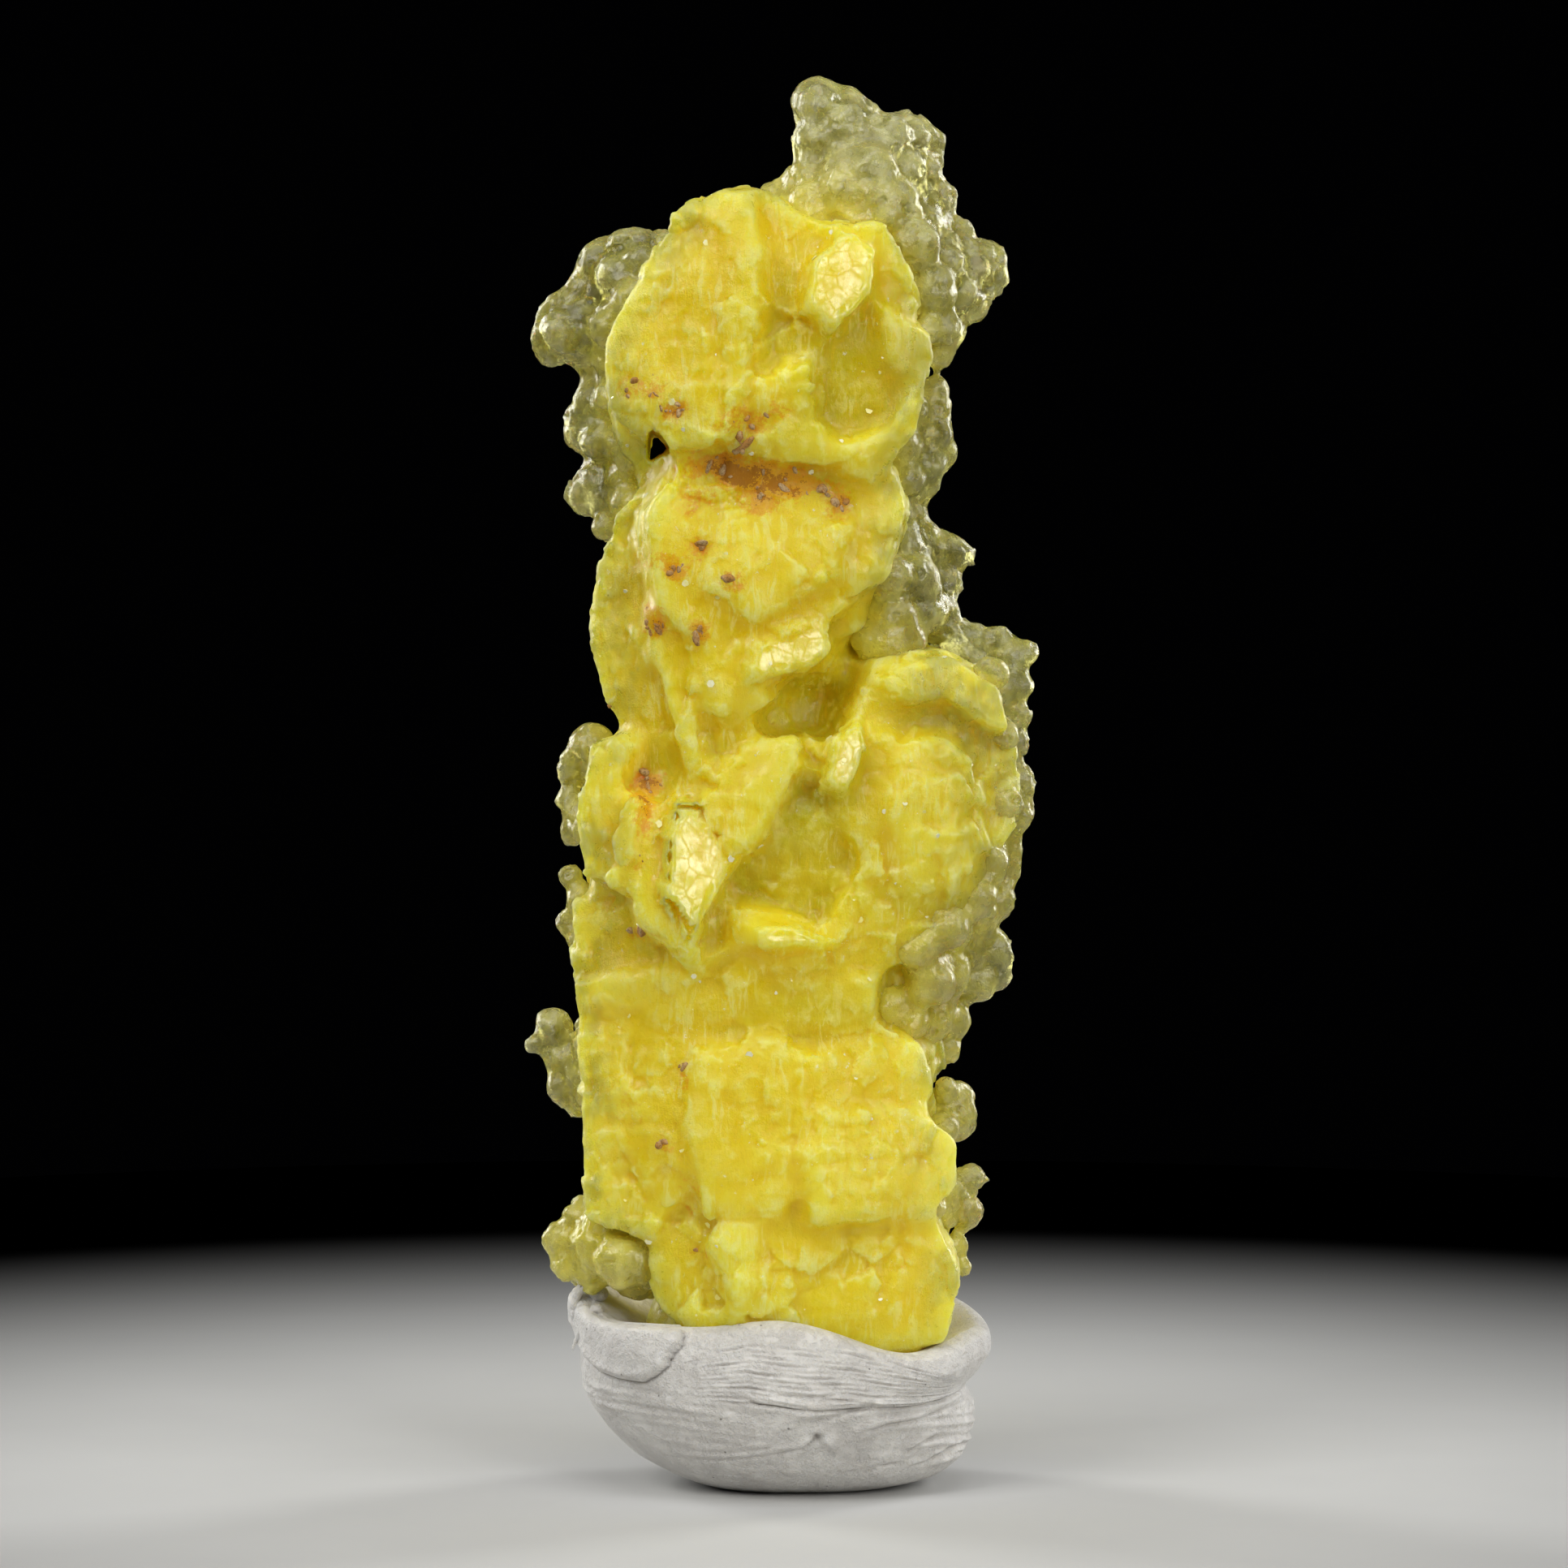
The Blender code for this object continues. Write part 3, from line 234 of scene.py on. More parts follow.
# Clear lobes round the edges, as (x, y, z, radius).
LOBES = {
    "crest": [
        (2.1, 0.5, 85.1, 1.8), (3.8, 0.8, 84.2, 1.9), (1.9, 0.2, 82.6, 1.6), (4.2, 0.6, 82.2, 2.2),
        (6.4, 1.2, 82.6, 2.1), (7.8, 1.4, 83.1, 1.7), (9.0, 1.4, 82.7, 1.1), (8.5, 1.0, 80.9, 1.6),
        (6.2, 0.2, 79.9, 2.4), (3.4, 0.2, 79.7, 2.3), (1.4, 0.0, 80.1, 1.6), (-0.2, -0.8, 79.1, 1.4),
        (9.5, 1.4, 79.2, 1.3), (7.7, 0.2, 77.7, 2.1), (4.7, -0.8, 77.4, 2.2), (1.7, -1.0, 77.7, 2.0),
        (3.4, -3.2, 79.8, 1.7), (5.4, -2.9, 81.0, 1.7), (1.6, -3.4, 78.8, 1.4), (6.9, -2.6, 79.0, 1.6),
        (4.6, -3.6, 78.4, 1.2),
    ],
    "upper_left": [
        (-5.2, -0.6, 78.1, 1.1), (-7.7, 1.4, 76.5, 1.2), (-9.4, 1.2, 75.9, 1.8),
        (-11.2, 1.6, 75.2, 1.7), (-12.1, 1.6, 73.5, 1.5), (-9.7, 0.8, 73.5, 2.0),
        (-13.6, 1.8, 72.2, 1.5), (-14.2, 2.0, 70.7, 1.5), (-11.9, 1.4, 71.2, 2.1),
        (-12.2, 1.4, 69.7, 1.3), (-10.3, 0.6, 69.7, 1.7),
    ],
    "middle_left": [
        (-11.4, 1.0, 66.8, 1.8), (-12.1, 1.4, 65.2, 1.6), (-10.2, 1.0, 64.7, 1.9),
        (-8.5, 0.8, 63.1, 1.5), (-11.1, 1.2, 61.8, 1.8), (-12.2, 1.4, 61.2, 1.4),
        (-9.7, 0.6, 61.1, 1.7), (-10.7, 0.2, 59.2, 1.1),
    ],
    "upper_right": [
        (10.7, 1.4, 77.1, 1.1), (9.1, 0.6, 75.8, 2.0), (11.3, 1.2, 75.0, 1.8), (12.7, 1.8, 75.8, 1.2),
        (13.0, 1.8, 74.5, 1.0), (11.5, 1.2, 73.2, 1.4), (9.6, 0.4, 73.0, 1.9), (10.3, 0.8, 71.0, 1.1),
        (9.6, 0.8, 69.7, 1.0),
        (7.9, -3.0, 76.4, 1.7), (9.0, -2.6, 73.8, 1.7), (9.6, -2.0, 71.6, 1.4), (5.6, -2.6, 79.0, 1.8),
    ],
    "middle_right": [
        (9.2, 0.8, 67.2, 1.3), (8.7, 0.8, 65.2, 1.8), (9.5, 1.2, 63.7, 1.3), (8.2, 0.8, 62.2, 1.6),
        (7.6, 0.6, 60.1, 1.3), (8.3, 0.8, 58.2, 1.6), (10.0, 1.2, 57.6, 1.4), (11.2, 1.4, 57.4, 0.9),
        (10.1, 1.0, 55.8, 1.2), (7.9, -1.2, 55.9, 1.9), (9.2, 0.4, 53.7, 1.8), (6.5, -2.6, 53.7, 1.8),
        (5.5, -3.2, 52.2, 1.4), (7.5, -2.0, 52.2, 1.5),
    ],
    "far_right": [
        (11.5, 0.8, 52.1, 1.3), (13.0, 1.2, 52.1, 1.1), (14.0, 1.2, 51.1, 1.4), (15.3, 1.4, 51.4, 0.7),
        (14.4, 1.0, 49.6, 1.0), (14.2, 0.8, 47.6, 1.2), (13.9, 0.6, 45.8, 1.3), (14.5, 0.8, 43.4, 1.2),
        (14.3, 0.8, 41.5, 1.3), (13.3, 0.4, 49.2, 1.3), (13.5, 0.6, 39.6, 1.4),
        (13.7, 0.8, 37.9, 1.1), (13.1, 0.6, 36.2, 1.4),
        (12.6, -2.8, 50.2, 1.3), (13.3, -2.4, 46.6, 1.3), (13.2, -2.4, 42.4, 1.4), (12.4, -2.8, 38.8, 1.5),
        (11.6, -3.4, 36.6, 1.6), (9.9, -4.4, 35.0, 1.6), (8.0, -4.9, 33.6, 1.4), (9.2, -4.2, 31.4, 1.5),
    ],
    "lower_right": [
        (11.5, 0.2, 34.6, 1.7), (12.8, 0.8, 33.1, 1.4), (13.3, 1.2, 31.5, 1.1), (11.7, 0.8, 31.0, 1.4),
        (9.7, -1.6, 31.9, 1.9), (10.5, 0.4, 28.6, 1.2), (9.9, 0.2, 26.9, 1.1), (8.7, -1.4, 29.2, 1.9),
        (6.3, -3.4, 29.8, 1.8), (10.7, 0.4, 24.1, 1.1), (10.2, 0.2, 22.8, 1.8),
        (11.3, 0.8, 22.2, 0.8),
    ],
    "foot_right": [
        (11.5, 0.6, 18.9, 1.1), (12.6, 0.8, 18.8, 0.5), (11.2, 0.4, 16.9, 1.2), (10.7, 0.0, 14.7, 0.9),
        (11.0, 0.0, 13.4, 0.6), (9.7, -1.0, 18.2, 1.5),
    ],
    "left": [
        (-11.9, 1.2, 45.6, 1.6), (-13.0, 1.4, 44.2, 1.1), (-13.2, 1.4, 42.2, 1.0),
        (-13.0, 1.2, 40.2, 1.0), (-12.6, 0.9, 41.2, 1.2), (-13.2, 1.0, 37.6, 0.9), (-12.5, 0.6, 36.1, 1.1),
        (-13.3, 1.0, 34.6, 0.9), (-12.3, 0.6, 33.6, 1.2),
    ],
    "left_knob": [
        (-14.1, 1.2, 28.2, 1.3), (-15.2, 1.2, 27.2, 0.7), (-15.7, 1.2, 27.0, 0.5),
        (-13.7, 1.0, 26.2, 1.3), (-13.5, 0.8, 24.5, 1.3), (-12.7, 0.6, 23.4, 1.0),
    ],
    "foot_left": [
        (-12.5, -0.6, 16.9, 1.1), (-13.7, -0.4, 15.2, 1.4), (-13.3, -0.6, 13.8, 1.3),
        (-11.1, -2.2, 15.2, 2.2), (-10.1, -2.6, 14.1, 1.6), (-12.1, -1.8, 13.4, 1.0),
        (-9.2, -2.2, 13.2, 1.6), (-8.6, -1.8, 15.0, 1.8),
    ],
}
LOBE_GROWTH = 0.12
TWINNED_FROM = 1.05
TWINNED_BEHIND = -2.2
LOBE_DEPTH = 0.85
LOBE_SEED = 3

# The small window left open at the left of the waist: its place and its radius.
WINDOW = (-7.8, 64.0, 1.15)
WINDOW_RISE = 4.0

# Marks on the best side, as (x, z, half width, half height, strength).
STAINS = [
    (-8.3, 67.9, 1.6, 0.6, 0.8), (-6.7, 66.4, 0.9, 0.6, 1.0), (-2.6, 65.9, 1.5, 0.8, 0.8),
    (-0.6, 66.6, 1.0, 0.8, 0.6), (-4.6, 63.2, 2.0, 0.8, 0.9), (-2.9, 62.6, 1.8, 0.9, 1.2),
    (-0.7, 62.1, 2.0, 1.0, 1.2), (1.6, 62.0, 1.2, 0.8, 0.9), (3.3, 60.7, 0.8, 1.1, 1.0),
    (-5.3, 61.0, 0.9, 0.9, 0.8), (-1.6, 60.8, 1.4, 0.6, 0.6), (-5.1, 58.2, 0.8, 0.7, 0.7),
    (-8.0, 57.3, 1.6, 0.9, 0.35), (-6.4, 57.0, 0.7, 0.9, 0.6), (-3.2, 56.2, 0.9, 1.0, 0.5),
    (-8.2, 54.3, 1.0, 0.7, 0.7), (-7.8, 53.2, 0.8, 0.5, 0.9), (-5.0, 53.2, 0.6, 0.7, 1.0),
    (-8.3, 43.8, 1.1, 1.0, 1.3), (-8.5, 42.2, 0.6, 1.2, 0.8), (-8.7, 39.5, 0.5, 1.0, 0.5),
    (-10.7, 48.8, 0.6, 1.6, 0.5), (-11.3, 53.0, 0.5, 2.0, 0.4), (-8.8, 34.6, 1.2, 0.6, 0.4),
    (-6.2, 25.9, 0.6, 0.8, 0.6), (-7.4, 21.8, 0.6, 0.5, 0.7), (-5.7, 19.0, 0.8, 2.2, 0.4),
    (-5.2, 15.3, 0.5, 0.5, 0.7), (-9.6, 23.4, 1.8, 2.6, 0.25), (10.2, 78.1, 1.2, 0.3, 0.8),
]
GREEN_HOLLOWS = [
    (4.5, 68.5, 3.4, 4.4, 1.0), (-1.4, 74.0, 2.4, 2.4, 0.3), (1.5, 41.6, 3.2, 4.8, 0.9),
    (10.5, 48.4, 3.2, 2.0, 0.7), (13.0, 41.5, 1.5, 4.4, 0.7), (8.2, 37.0, 3.0, 1.8, 0.5),
    (3.6, 49.8, 3.2, 1.5, 0.7), (2.2, 30.2, 4.4, 1.6, 0.4), (4.4, 45.2, 1.2, 2.0, 0.5),
]
PALE_FACES = [
    (9.2, 41.0, 2.6, 4.0, 1.0), (4.5, 20.5, 4.5, 3.0, 0.55), (-2.8, 15.6, 1.5, 2.8, 0.9),
    (-9.6, 30.9, 3.4, 1.1, 0.8), (-8.6, 66.4, 3.4, 1.1, 0.7), (-1.4, 43.4, 2.0, 3.2, 0.5),
    (-9.8, 54.0, 1.6, 5.0, 0.4), (7.6, 63.6, 2.0, 2.4, 0.6), (-6.2, 17.6, 1.4, 1.6, 0.5),
    (6.1, 24.0, 0.5, 0.4, 2.5), (10.4, 70.4, 0.5, 1.4, 2.0), (0.4, 65.0, 3.2, 0.8, 0.5),
    (-7.4, 38.4, 2.4, 4.2, 0.5), (5.6, 47.8, 1.2, 0.8, 0.5),
]

# Lobes that the yellow shines through, and the same marks on the other sides, spread by a seed: how
# many, the span of sizes and the strength.
LOBE_MARKS = {
    "yellow": [((-11.0, -2.0, 14.8), (4.0, 4.6, 3.8), 1.5)],
    "milk": [((4.6, 0.0, 82.0), (5.4, 4.5, 4.6), 0.8), ((-11.0, -2.0, 14.8), (3.6, 4.0, 3.4), 0.3)],
}
BACK_MARKS = {"stain": (26, (0.5, 2.0), 0.7), "green": (9, (2.0, 4.0), 0.8), "pale": (16, (1.2, 3.4), 0.7)}
MARK_REACH = 4.5

# Bunches of iron grains on the best side, as (x, z, how far they spread, how many).
GRAIN_BUNCHES = [
    (-2.7, 64.2, 0.5, 5), (-6.7, 66.4, 0.9, 9), (-8.5, 67.7, 1.4, 8), (-2.3, 65.9, 1.2, 8),
    (-5.1, 58.3, 0.5, 6), (-5.0, 53.2, 0.5, 6), (-7.8, 53.2, 0.9, 9), (-8.6, 34.9, 0.3, 3),
    (-9.6, 34.8, 0.3, 3), (-6.3, 26.6, 0.3, 3), (-7.4, 21.9, 0.35, 4), (-5.2, 15.3, 0.3, 3),
    (-1.4, 62.3, 2.2, 16), (2.0, 62.0, 1.6, 9), (3.3, 60.7, 0.7, 7), (-8.3, 43.8, 0.9, 10),
    (-8.7, 39.6, 0.4, 4), (10.2, 78.2, 1.3, 9), (-3.2, 56.2, 0.8, 5), (-6.4, 56.8, 0.7, 6),
    (-10.7, 48.6, 0.5, 4), (-4.6, 63.2, 1.6, 8),
]
GRAIN_SEED = 8
BACK_GRAINS = 60
BACK_JOINTS = (20.0, 34.0, 48.0, 62.0)
RAY_START = 30.0

# The tack: rings from the foot up and over into the dish. Each ring has its height, its radius to the
# right, back, left and front, and how much of the rim's waves it takes.
TACK_RINGS = [
    (0.0, (0.0, 0.0, 0.0, 0.0), 0.0),
    (0.0, (4.2, 3.2, 2.4, 2.8), 0.0),
    (0.0, (7.0, 5.4, 4.6, 4.4), 0.0),
    (0.7, (9.7, 7.6, 6.6, 6.6), 0.0),
    (2.0, (11.2, 9.0, 9.0, 8.4), 0.0),
    (3.6, (11.9, 9.9, 10.7, 9.6), 0.0),
    (5.2, (12.0, 10.4, 11.9, 10.3), 0.1),
    (6.2, (11.8, 10.7, 12.3, 10.6), 0.2),
    (7.4, (12.3, 10.7, 12.4, 10.5), 0.5),
    (8.8, (13.0, 10.2, 12.3, 10.0), 0.9),
    (10.0, (12.9, 9.5, 12.4, 9.2), 1.0),
    (10.4, (12.0, 8.6, 11.8, 8.2), 1.0),
    (9.8, (10.6, 7.6, 10.4, 7.2), 0.8),
    (8.7, (8.4, 6.0, 7.6, 5.8), 0.3),
    (8.2, (4.0, 3.0, 4.0, 3.0), 0.0),
    (8.1, (0.0, 0.0, 0.0, 0.0), 0.0),
]
TACK_CENTRE_X = -0.2
TACK_OUTSIDE = 11

# How the rings of vertices are shared out over the steps between those rings of the tack.
TACK_SHARES = (0.3, 0.3, 1.0, 2.2, 2.6, 2.6, 2.0, 2.2, 2.4, 2.2, 1.4, 1.8, 1.6, 0.6, 0.2)

# Waves of the tack's rim: the direction in degrees round from the right, the spread, and the rise.
RIM_WAVES = [
    (0, 14, -0.5), (36, 20, 0.8), (-40, 22, -1.4), (-93, 26, 0.8), (-140, 20, 0.3), (174, 18, 1.6),
    (142, 22, 1.1), (90, 36, 0.4),
]

# Bulges of the tack's side: direction, height, spread in degrees, spread in height, and push outwards.
TACK_BULGES = [
    (-138, 9.4, 15, 1.7, 0.5), (176, 10.8, 8, 1.4, 0.5), (-8, 6.1, 24, 0.8, -0.4),
    (-60, 4.6, 8, 1.0, 0.35), (-26, 1.8, 22, 1.2, 0.35),
]

# The flap folded over the tack's left corner, seen from the front, as (x, z), and how far it stands out.
TACK_FLAP = [
    (-12.9, 9.8), (-12.6, 8.9), (-12.1, 8.15), (-11.2, 7.63), (-10.0, 7.45), (-8.5, 7.42), (-7.8, 7.9),
    (-7.1, 8.5), (-6.8, 9.2), (-6.2, 9.8), (-6.1, 10.2), (-6.9, 11.4), (-8.0, 13.0), (-13.0, 13.0),
]
FLAP_RISE = 0.5

# Creases of the tack's front, as depth, half width, height of the lip above it, and (x, z) points.
TACK_CREASES = [
    (0.24, 0.1, 0.16, [(-2.4, 6.65), (-1.5, 6.4), (-0.5, 6.3), (0.7, 6.1), (2.0, 6.0), (3.7, 6.05),
        (5.1, 6.08), (7.2, 5.87), (9.0, 5.92), (11.3, 6.15)]),
    (0.1, 0.08, 0.06, [(-0.7, 7.0), (2.0, 6.75), (3.7, 6.57), (5.5, 6.22), (7.2, 6.05)]),
    (0.14, 0.2, 0.2, [(1.1, 5.1), (2.8, 5.6), (4.1, 5.95), (5.2, 6.0)]),
    (0.16, 0.1, 0.12, [(4.8, 4.5), (6.3, 4.9), (8.1, 5.0), (9.9, 5.45), (11.3, 5.7)]),
    (0.2, 0.11, 0.18, [(-8.0, 2.65), (-6.2, 2.6), (-4.0, 2.63), (-1.2, 3.05), (1.1, 3.5), (2.1, 4.3)]),
    (0.12, 0.1, 0.1, [(-7.0, 3.4), (-5.0, 3.1), (-2.5, 3.3), (-0.5, 3.7)]),
    (0.16, 0.09, 0.1, [(7.1, 2.8), (8.1, 3.45), (9.5, 3.87)]),
    (0.3, 0.16, 0.16, [(4.4, 1.6), (5.8, 2.0), (7.1, 2.3)]),
    (0.22, 0.11, 0.2, [(6.9, 1.55), (8.1, 2.1), (9.5, 2.6), (11.1, 3.15)]),
    (0.2, 0.1, 0.18, [(6.5, 0.9), (7.7, 1.4), (9.3, 1.75), (10.7, 2.3)]),
    (0.14, 0.09, 0.12, [(7.6, 0.75), (9.0, 1.1), (10.2, 1.5)]),
    (0.1, 0.1, 0.08, [(-12.2, 6.8), (-11.0, 5.4), (-9.4, 4.2), (-7.6, 3.5)]),
    (0.1, 0.1, 0.08, [(-12.1, 5.6), (-10.6, 4.4), (-9.0, 3.6)]),
    (0.09, 0.08, 0.06, [(5.9, 9.5), (6.1, 9.1), (5.9, 8.85)]),
    (0.08, 0.07, 0.05, [(-6.6, 5.8), (-6.3, 5.95), (-6.1, 5.8)]),
    (0.08, 0.07, 0.05, [(-3.5, 6.2), (-3.1, 5.95), (-3.6, 5.85)]),
]

# Dents and bumps of the tack's front: x, z, half width, half height, lean in degrees, push outwards.
TACK_BUMPS = [
    (2.8, 4.0, 0.42, 0.75, 35, 0.45), (2.0, 4.25, 0.3, 0.3, 0, -0.4), (3.3, 3.4, 0.5, 0.3, 0, 0.12),
    (8.0, 3.2, 2.4, 0.9, 12, 0.16), (9.0, 1.7, 1.8, 0.5, 18, 0.16), (-9.5, 4.4, 2.4, 1.4, -30, -0.12),
    (6.0, 1.9, 1.6, 0.5, 15, -0.25), (-3.0, 4.6, 3.4, 1.0, 0, 0.12), (3.8, 5.6, 1.6, 0.4, 10, 0.16),
    (-0.6, 6.7, 1.2, 0.25, -6, 0.1), (-5.0, 1.2, 4.0, 1.0, -12, 0.14), (1.0, 8.6, 4.0, 0.5, 4, 0.1),
]

# The drawn lines of the tack's front lie between these two curves, as (x, z).
DRAWN_TOP = [(-5.5, 9.6), (-2.2, 10.6), (1.5, 10.3), (4.0, 10.0), (6.5, 9.2), (9.5, 8.0), (11.6, 7.2)]
DRAWN_LOW = [(-5.5, 6.6), (-2.2, 6.5), (1.5, 6.0), (4.0, 6.05), (6.5, 5.9), (9.5, 5.9), (11.6, 6.1)]
DRAWN_LINES = 13.0

# The rolled ear and the thin scrap at the tack's left, as beads: x, y, z, half sizes.
TACK_EAR = [
    (-11.4, -1.2, 11.9, 0.6, 0.7, 0.5), (-11.9, -1.3, 12.3, 0.5, 0.6, 0.35),
    (-12.4, -1.4, 12.3, 0.42, 0.6, 0.35), (-12.8, -1.4, 11.9, 0.35, 0.6, 0.45),
    (-12.95, -1.3, 11.3, 0.33, 0.7, 0.5), (-12.9, -1.2, 10.7, 0.36, 0.8, 0.5),
    (-12.6, -1.1, 10.2, 0.45, 0.9, 0.45), (-12.0, -0.6, 11.1, 0.7, 0.4, 0.9),
    (-11.5, -2.5, 11.1, 0.5, 0.5, 0.4), (-11.8, -2.7, 10.7, 0.32, 0.3, 0.36),
    (-12.1, -2.75, 10.3, 0.26, 0.2, 0.36), (-12.4, -2.8, 9.9, 0.24, 0.17, 0.34),
    (-12.65, -2.8, 9.5, 0.2, 0.15, 0.34), (-12.85, -2.75, 9.1, 0.15, 0.13, 0.32),
    (-13.0, -2.7, 8.75, 0.12, 0.12, 0.28),
]

# The lights: turn to the right of the front and rise in degrees, distance, size, watts and colour.
SOFTBOXES = [
    ("glint_light", 25.2, 19.5, 0.42, (0.09, 0.12), 0.34, (1.0, 0.98, 0.95)),
    ("front_left", -44.0, 34.0, 0.42, (0.22, 0.22), 0.74, (1.0, 0.99, 0.97)),
    ("front_right", 52.0, 16.0, 0.42, (0.18, 0.24), 0.42, (1.0, 0.99, 0.97)),
    ("top", 10.0, 70.0, 0.38, (0.26, 0.26), 0.55, (1.0, 1.0, 1.0)),
    ("rim_left", -128.0, 16.0, 0.40, (0.10, 0.26), 0.9, (1.0, 1.0, 1.0)),
    ("rim_right", 128.0, 16.0, 0.40, (0.10, 0.26), 0.9, (1.0, 1.0, 1.0)),
]


def clear_piece(name):
    """Removes an earlier piece of this name, so that an operator can be run again."""
    old = bpy.data.objects.get(name)
    if old is not None:
        bpy.data.objects.remove(old)


def linked(name, data):
    """Adds a mesh to the scene as an object of this name."""
    clear_piece(name)
    made = bpy.data.objects.new(name, data)
    bpy.context.scene.collection.objects.link(made)
    return made


def built(name, mesh):
    """Adds a bmesh to the scene as an object of this name, and frees it."""
    data = bpy.data.meshes.new(name)
    mesh.to_mesh(data)
    mesh.free()
    return linked(name, data)


def join_frame(piece, material, stands_for):
    """Gives a finished piece its material and ties it to the frame."""
    piece.data.materials.clear()
    piece.data.materials.append(material)
    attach(piece, "root")
    if stands_for:
        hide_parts(stands_for)
    return piece


def evaluated(piece):
    """Applies a piece's modifiers to its mesh."""
    bpy.context.view_layer.update()
    graph = bpy.context.evaluated_depsgraph_get()
    done = bpy.data.meshes.new_from_object(piece.evaluated_get(graph))
    piece.modifiers.clear()
    old = piece.data
    piece.data = done
    bpy.data.meshes.remove(old)
    done.name = piece.name
    return piece


def fused(piece, voxel):
    """Gives a piece of overlapping or uneven shapes one even, closed skin."""
    fuse = piece.modifiers.new("fuse", "REMESH")
    fuse.mode = "VOXEL"
    fuse.voxel_size = voxel
    return evaluated(piece)


def remeshed(name, mesh, voxel):
    """Makes overlapping closed shapes into a piece with one skin."""
    bmesh.ops.recalc_face_normals(mesh, faces=mesh.faces)
    return fused(built(name, mesh), voxel)


def move_vertices(data, places):
    """Moves the vertices of a mesh to these places, in metres."""
    data.vertices.foreach_set("co", places.astype(np.float32).ravel())
    data.update()


def push_out(piece, distance):
    """Moves a piece's whole skin outwards, or inwards by a negative distance."""
    move_vertices(piece.data, positions(piece.data) + normals(piece.data) * distance)


def softened(piece, rounds):
    """Rounds a piece's edges a little."""
    soften = piece.modifiers.new("soften", "SMOOTH")
    soften.factor = 0.5
    soften.iterations = rounds
    return evaluated(piece)


def thinned(piece, most):
    """Takes a piece down to the triangles that it may have."""
    count = sum(len(face.vertices) - 2 for face in piece.data.polygons)
    thin = piece.modifiers.new("thin out", "DECIMATE")
    thin.ratio = min(1.0, most / count)
    return evaluated(piece)


def with_window(piece):
    """Opens the small window at the left of the waist with a slightly rising three-sided rod."""
    x, z, radius = WINDOW
    lean = Matrix.Rotation(math.radians(90.0 - WINDOW_RISE), 4, "X")
    wedge = Matrix.Diagonal((0.9, 1.2, 1.0, 1.0)) @ Matrix.Rotation(math.radians(25.0), 4, "Z")
    place = Matrix.Translation(Vector((x, 0.0, z)) * MM) @ lean @ wedge
    mesh = bmesh.new()
    bmesh.ops.create_cone(
        mesh, cap_ends=True, segments=3, radius1=radius * MM, radius2=radius * MM, depth=0.03, matrix=place
    )
    rod = built("window_rod", mesh)
    cut = piece.modifiers.new("window", "BOOLEAN")
    cut.operation = "DIFFERENCE"
    cut.object = rod
    evaluated(piece)
    bpy.data.objects.remove(rod)
    return piece


def smooth_shaded(data):
    """Shades a whole mesh smoothly."""
    data.polygons.foreach_set("use_smooth", [True] * len(data.polygons))
    data.update()


def positions(data):
    """The vertices of a mesh as an array, in metres."""
    flat = np.empty(len(data.vertices) * 3, dtype=np.float32)
    data.vertices.foreach_get("co", flat)
    return flat.reshape(-1, 3).astype(np.float64)


def normals(data):
    """The normals of a mesh's vertices as an array."""
    flat = np.empty(len(data.vertices) * 3, dtype=np.float32)
    data.vertex_normals.foreach_get("vector", flat)
    return flat.reshape(-1, 3).astype(np.float64)


def store(data, name, values):
    """Keeps one number a vertex on the mesh, for its material to read."""
    layer = data.attributes.get(name) or data.attributes.new(name, "FLOAT", "POINT")
    layer.data.foreach_set("value", np.asarray(values, dtype=np.float32))


def eased(low, high, values):
    """Rises smoothly from 0 to 1 between two limits."""
    share = np.clip((values - low) / (high - low), 0.0, 1.0)
    return share * share * (3.0 - 2.0 * share)


def spread_out(data, values, rounds):
    """Averages each vertex with its neighbours a number of times."""
    pairs = np.empty(len(data.edges) * 2, dtype=np.int32)
    data.edges.foreach_get("vertices", pairs)
    first, second = pairs.reshape(-1, 2).T
    count = len(data.vertices)
    degree = np.maximum(np.bincount(first, minlength=count) + np.bincount(second, minlength=count), 1)
    for _ in range(rounds):
        around = [
            np.bincount(first, column[second], count) + np.bincount(second, column[first], count)
            for column in values.T
        ]
        values = 0.5 * values + 0.5 * (np.stack(around, axis=1) / degree[:, None])
    return values


def add_chunk(mesh, centre, half_sizes, corners, seed):
    """A faceted chunk: the hull of points spread over an ellipsoid and jittered."""
    rng = random.Random(seed)
    points = []
    for index in range(corners):
        height = 1.0 - 2.0 * (index + 0.5) / corners
        ring = math.sqrt(1.0 - height * height)
        turn = index * GOLDEN_ANGLE + rng.uniform(-0.35, 0.35)
        reach = rng.uniform(0.86, 1.1)
        unit = Vector((ring * math.cos(turn), ring * math.sin(turn), height)) * reach
        place = [c + h * u for c, h, u in zip(centre, half_sizes, unit)]
        points.append(mesh.verts.new(Vector(place) * MM))
    hull = bmesh.ops.convex_hull(mesh, input=points)
    inside = [v for v in hull["geom_interior"] if isinstance(v, bmesh.types.BMVert)]
    bmesh.ops.delete(mesh, geom=inside, context="VERTS")


def add_slab(mesh, corners, inward, flare):
    """A tabular crystal: a flat outline, thickened inward and spread by the flare on the way."""
    ring = bmesh.ops.create_circle(mesh, cap_ends=True, radius=1.0, segments=len(corners))["verts"]
    for corner, place in zip(ring, corners):
        corner.co = place
    face = ring[0].link_faces[0]
    middle = face.calc_center_median()
    grown = bmesh.ops.extrude_face_region(mesh, geom=[face])["geom"]
    back = [v for v in grown if isinstance(v, bmesh.types.BMVert)]
    for corner in back:
        corner.co = middle + (corner.co - middle) * flare + inward
    bmesh.ops.scale(mesh, vec=(MM, MM, MM), verts=ring + back)


def middle_of(outline):
    """The mean corner of an outline of (x, z) points."""
    return [sum(column) / len(outline) for column in zip(*outline)]


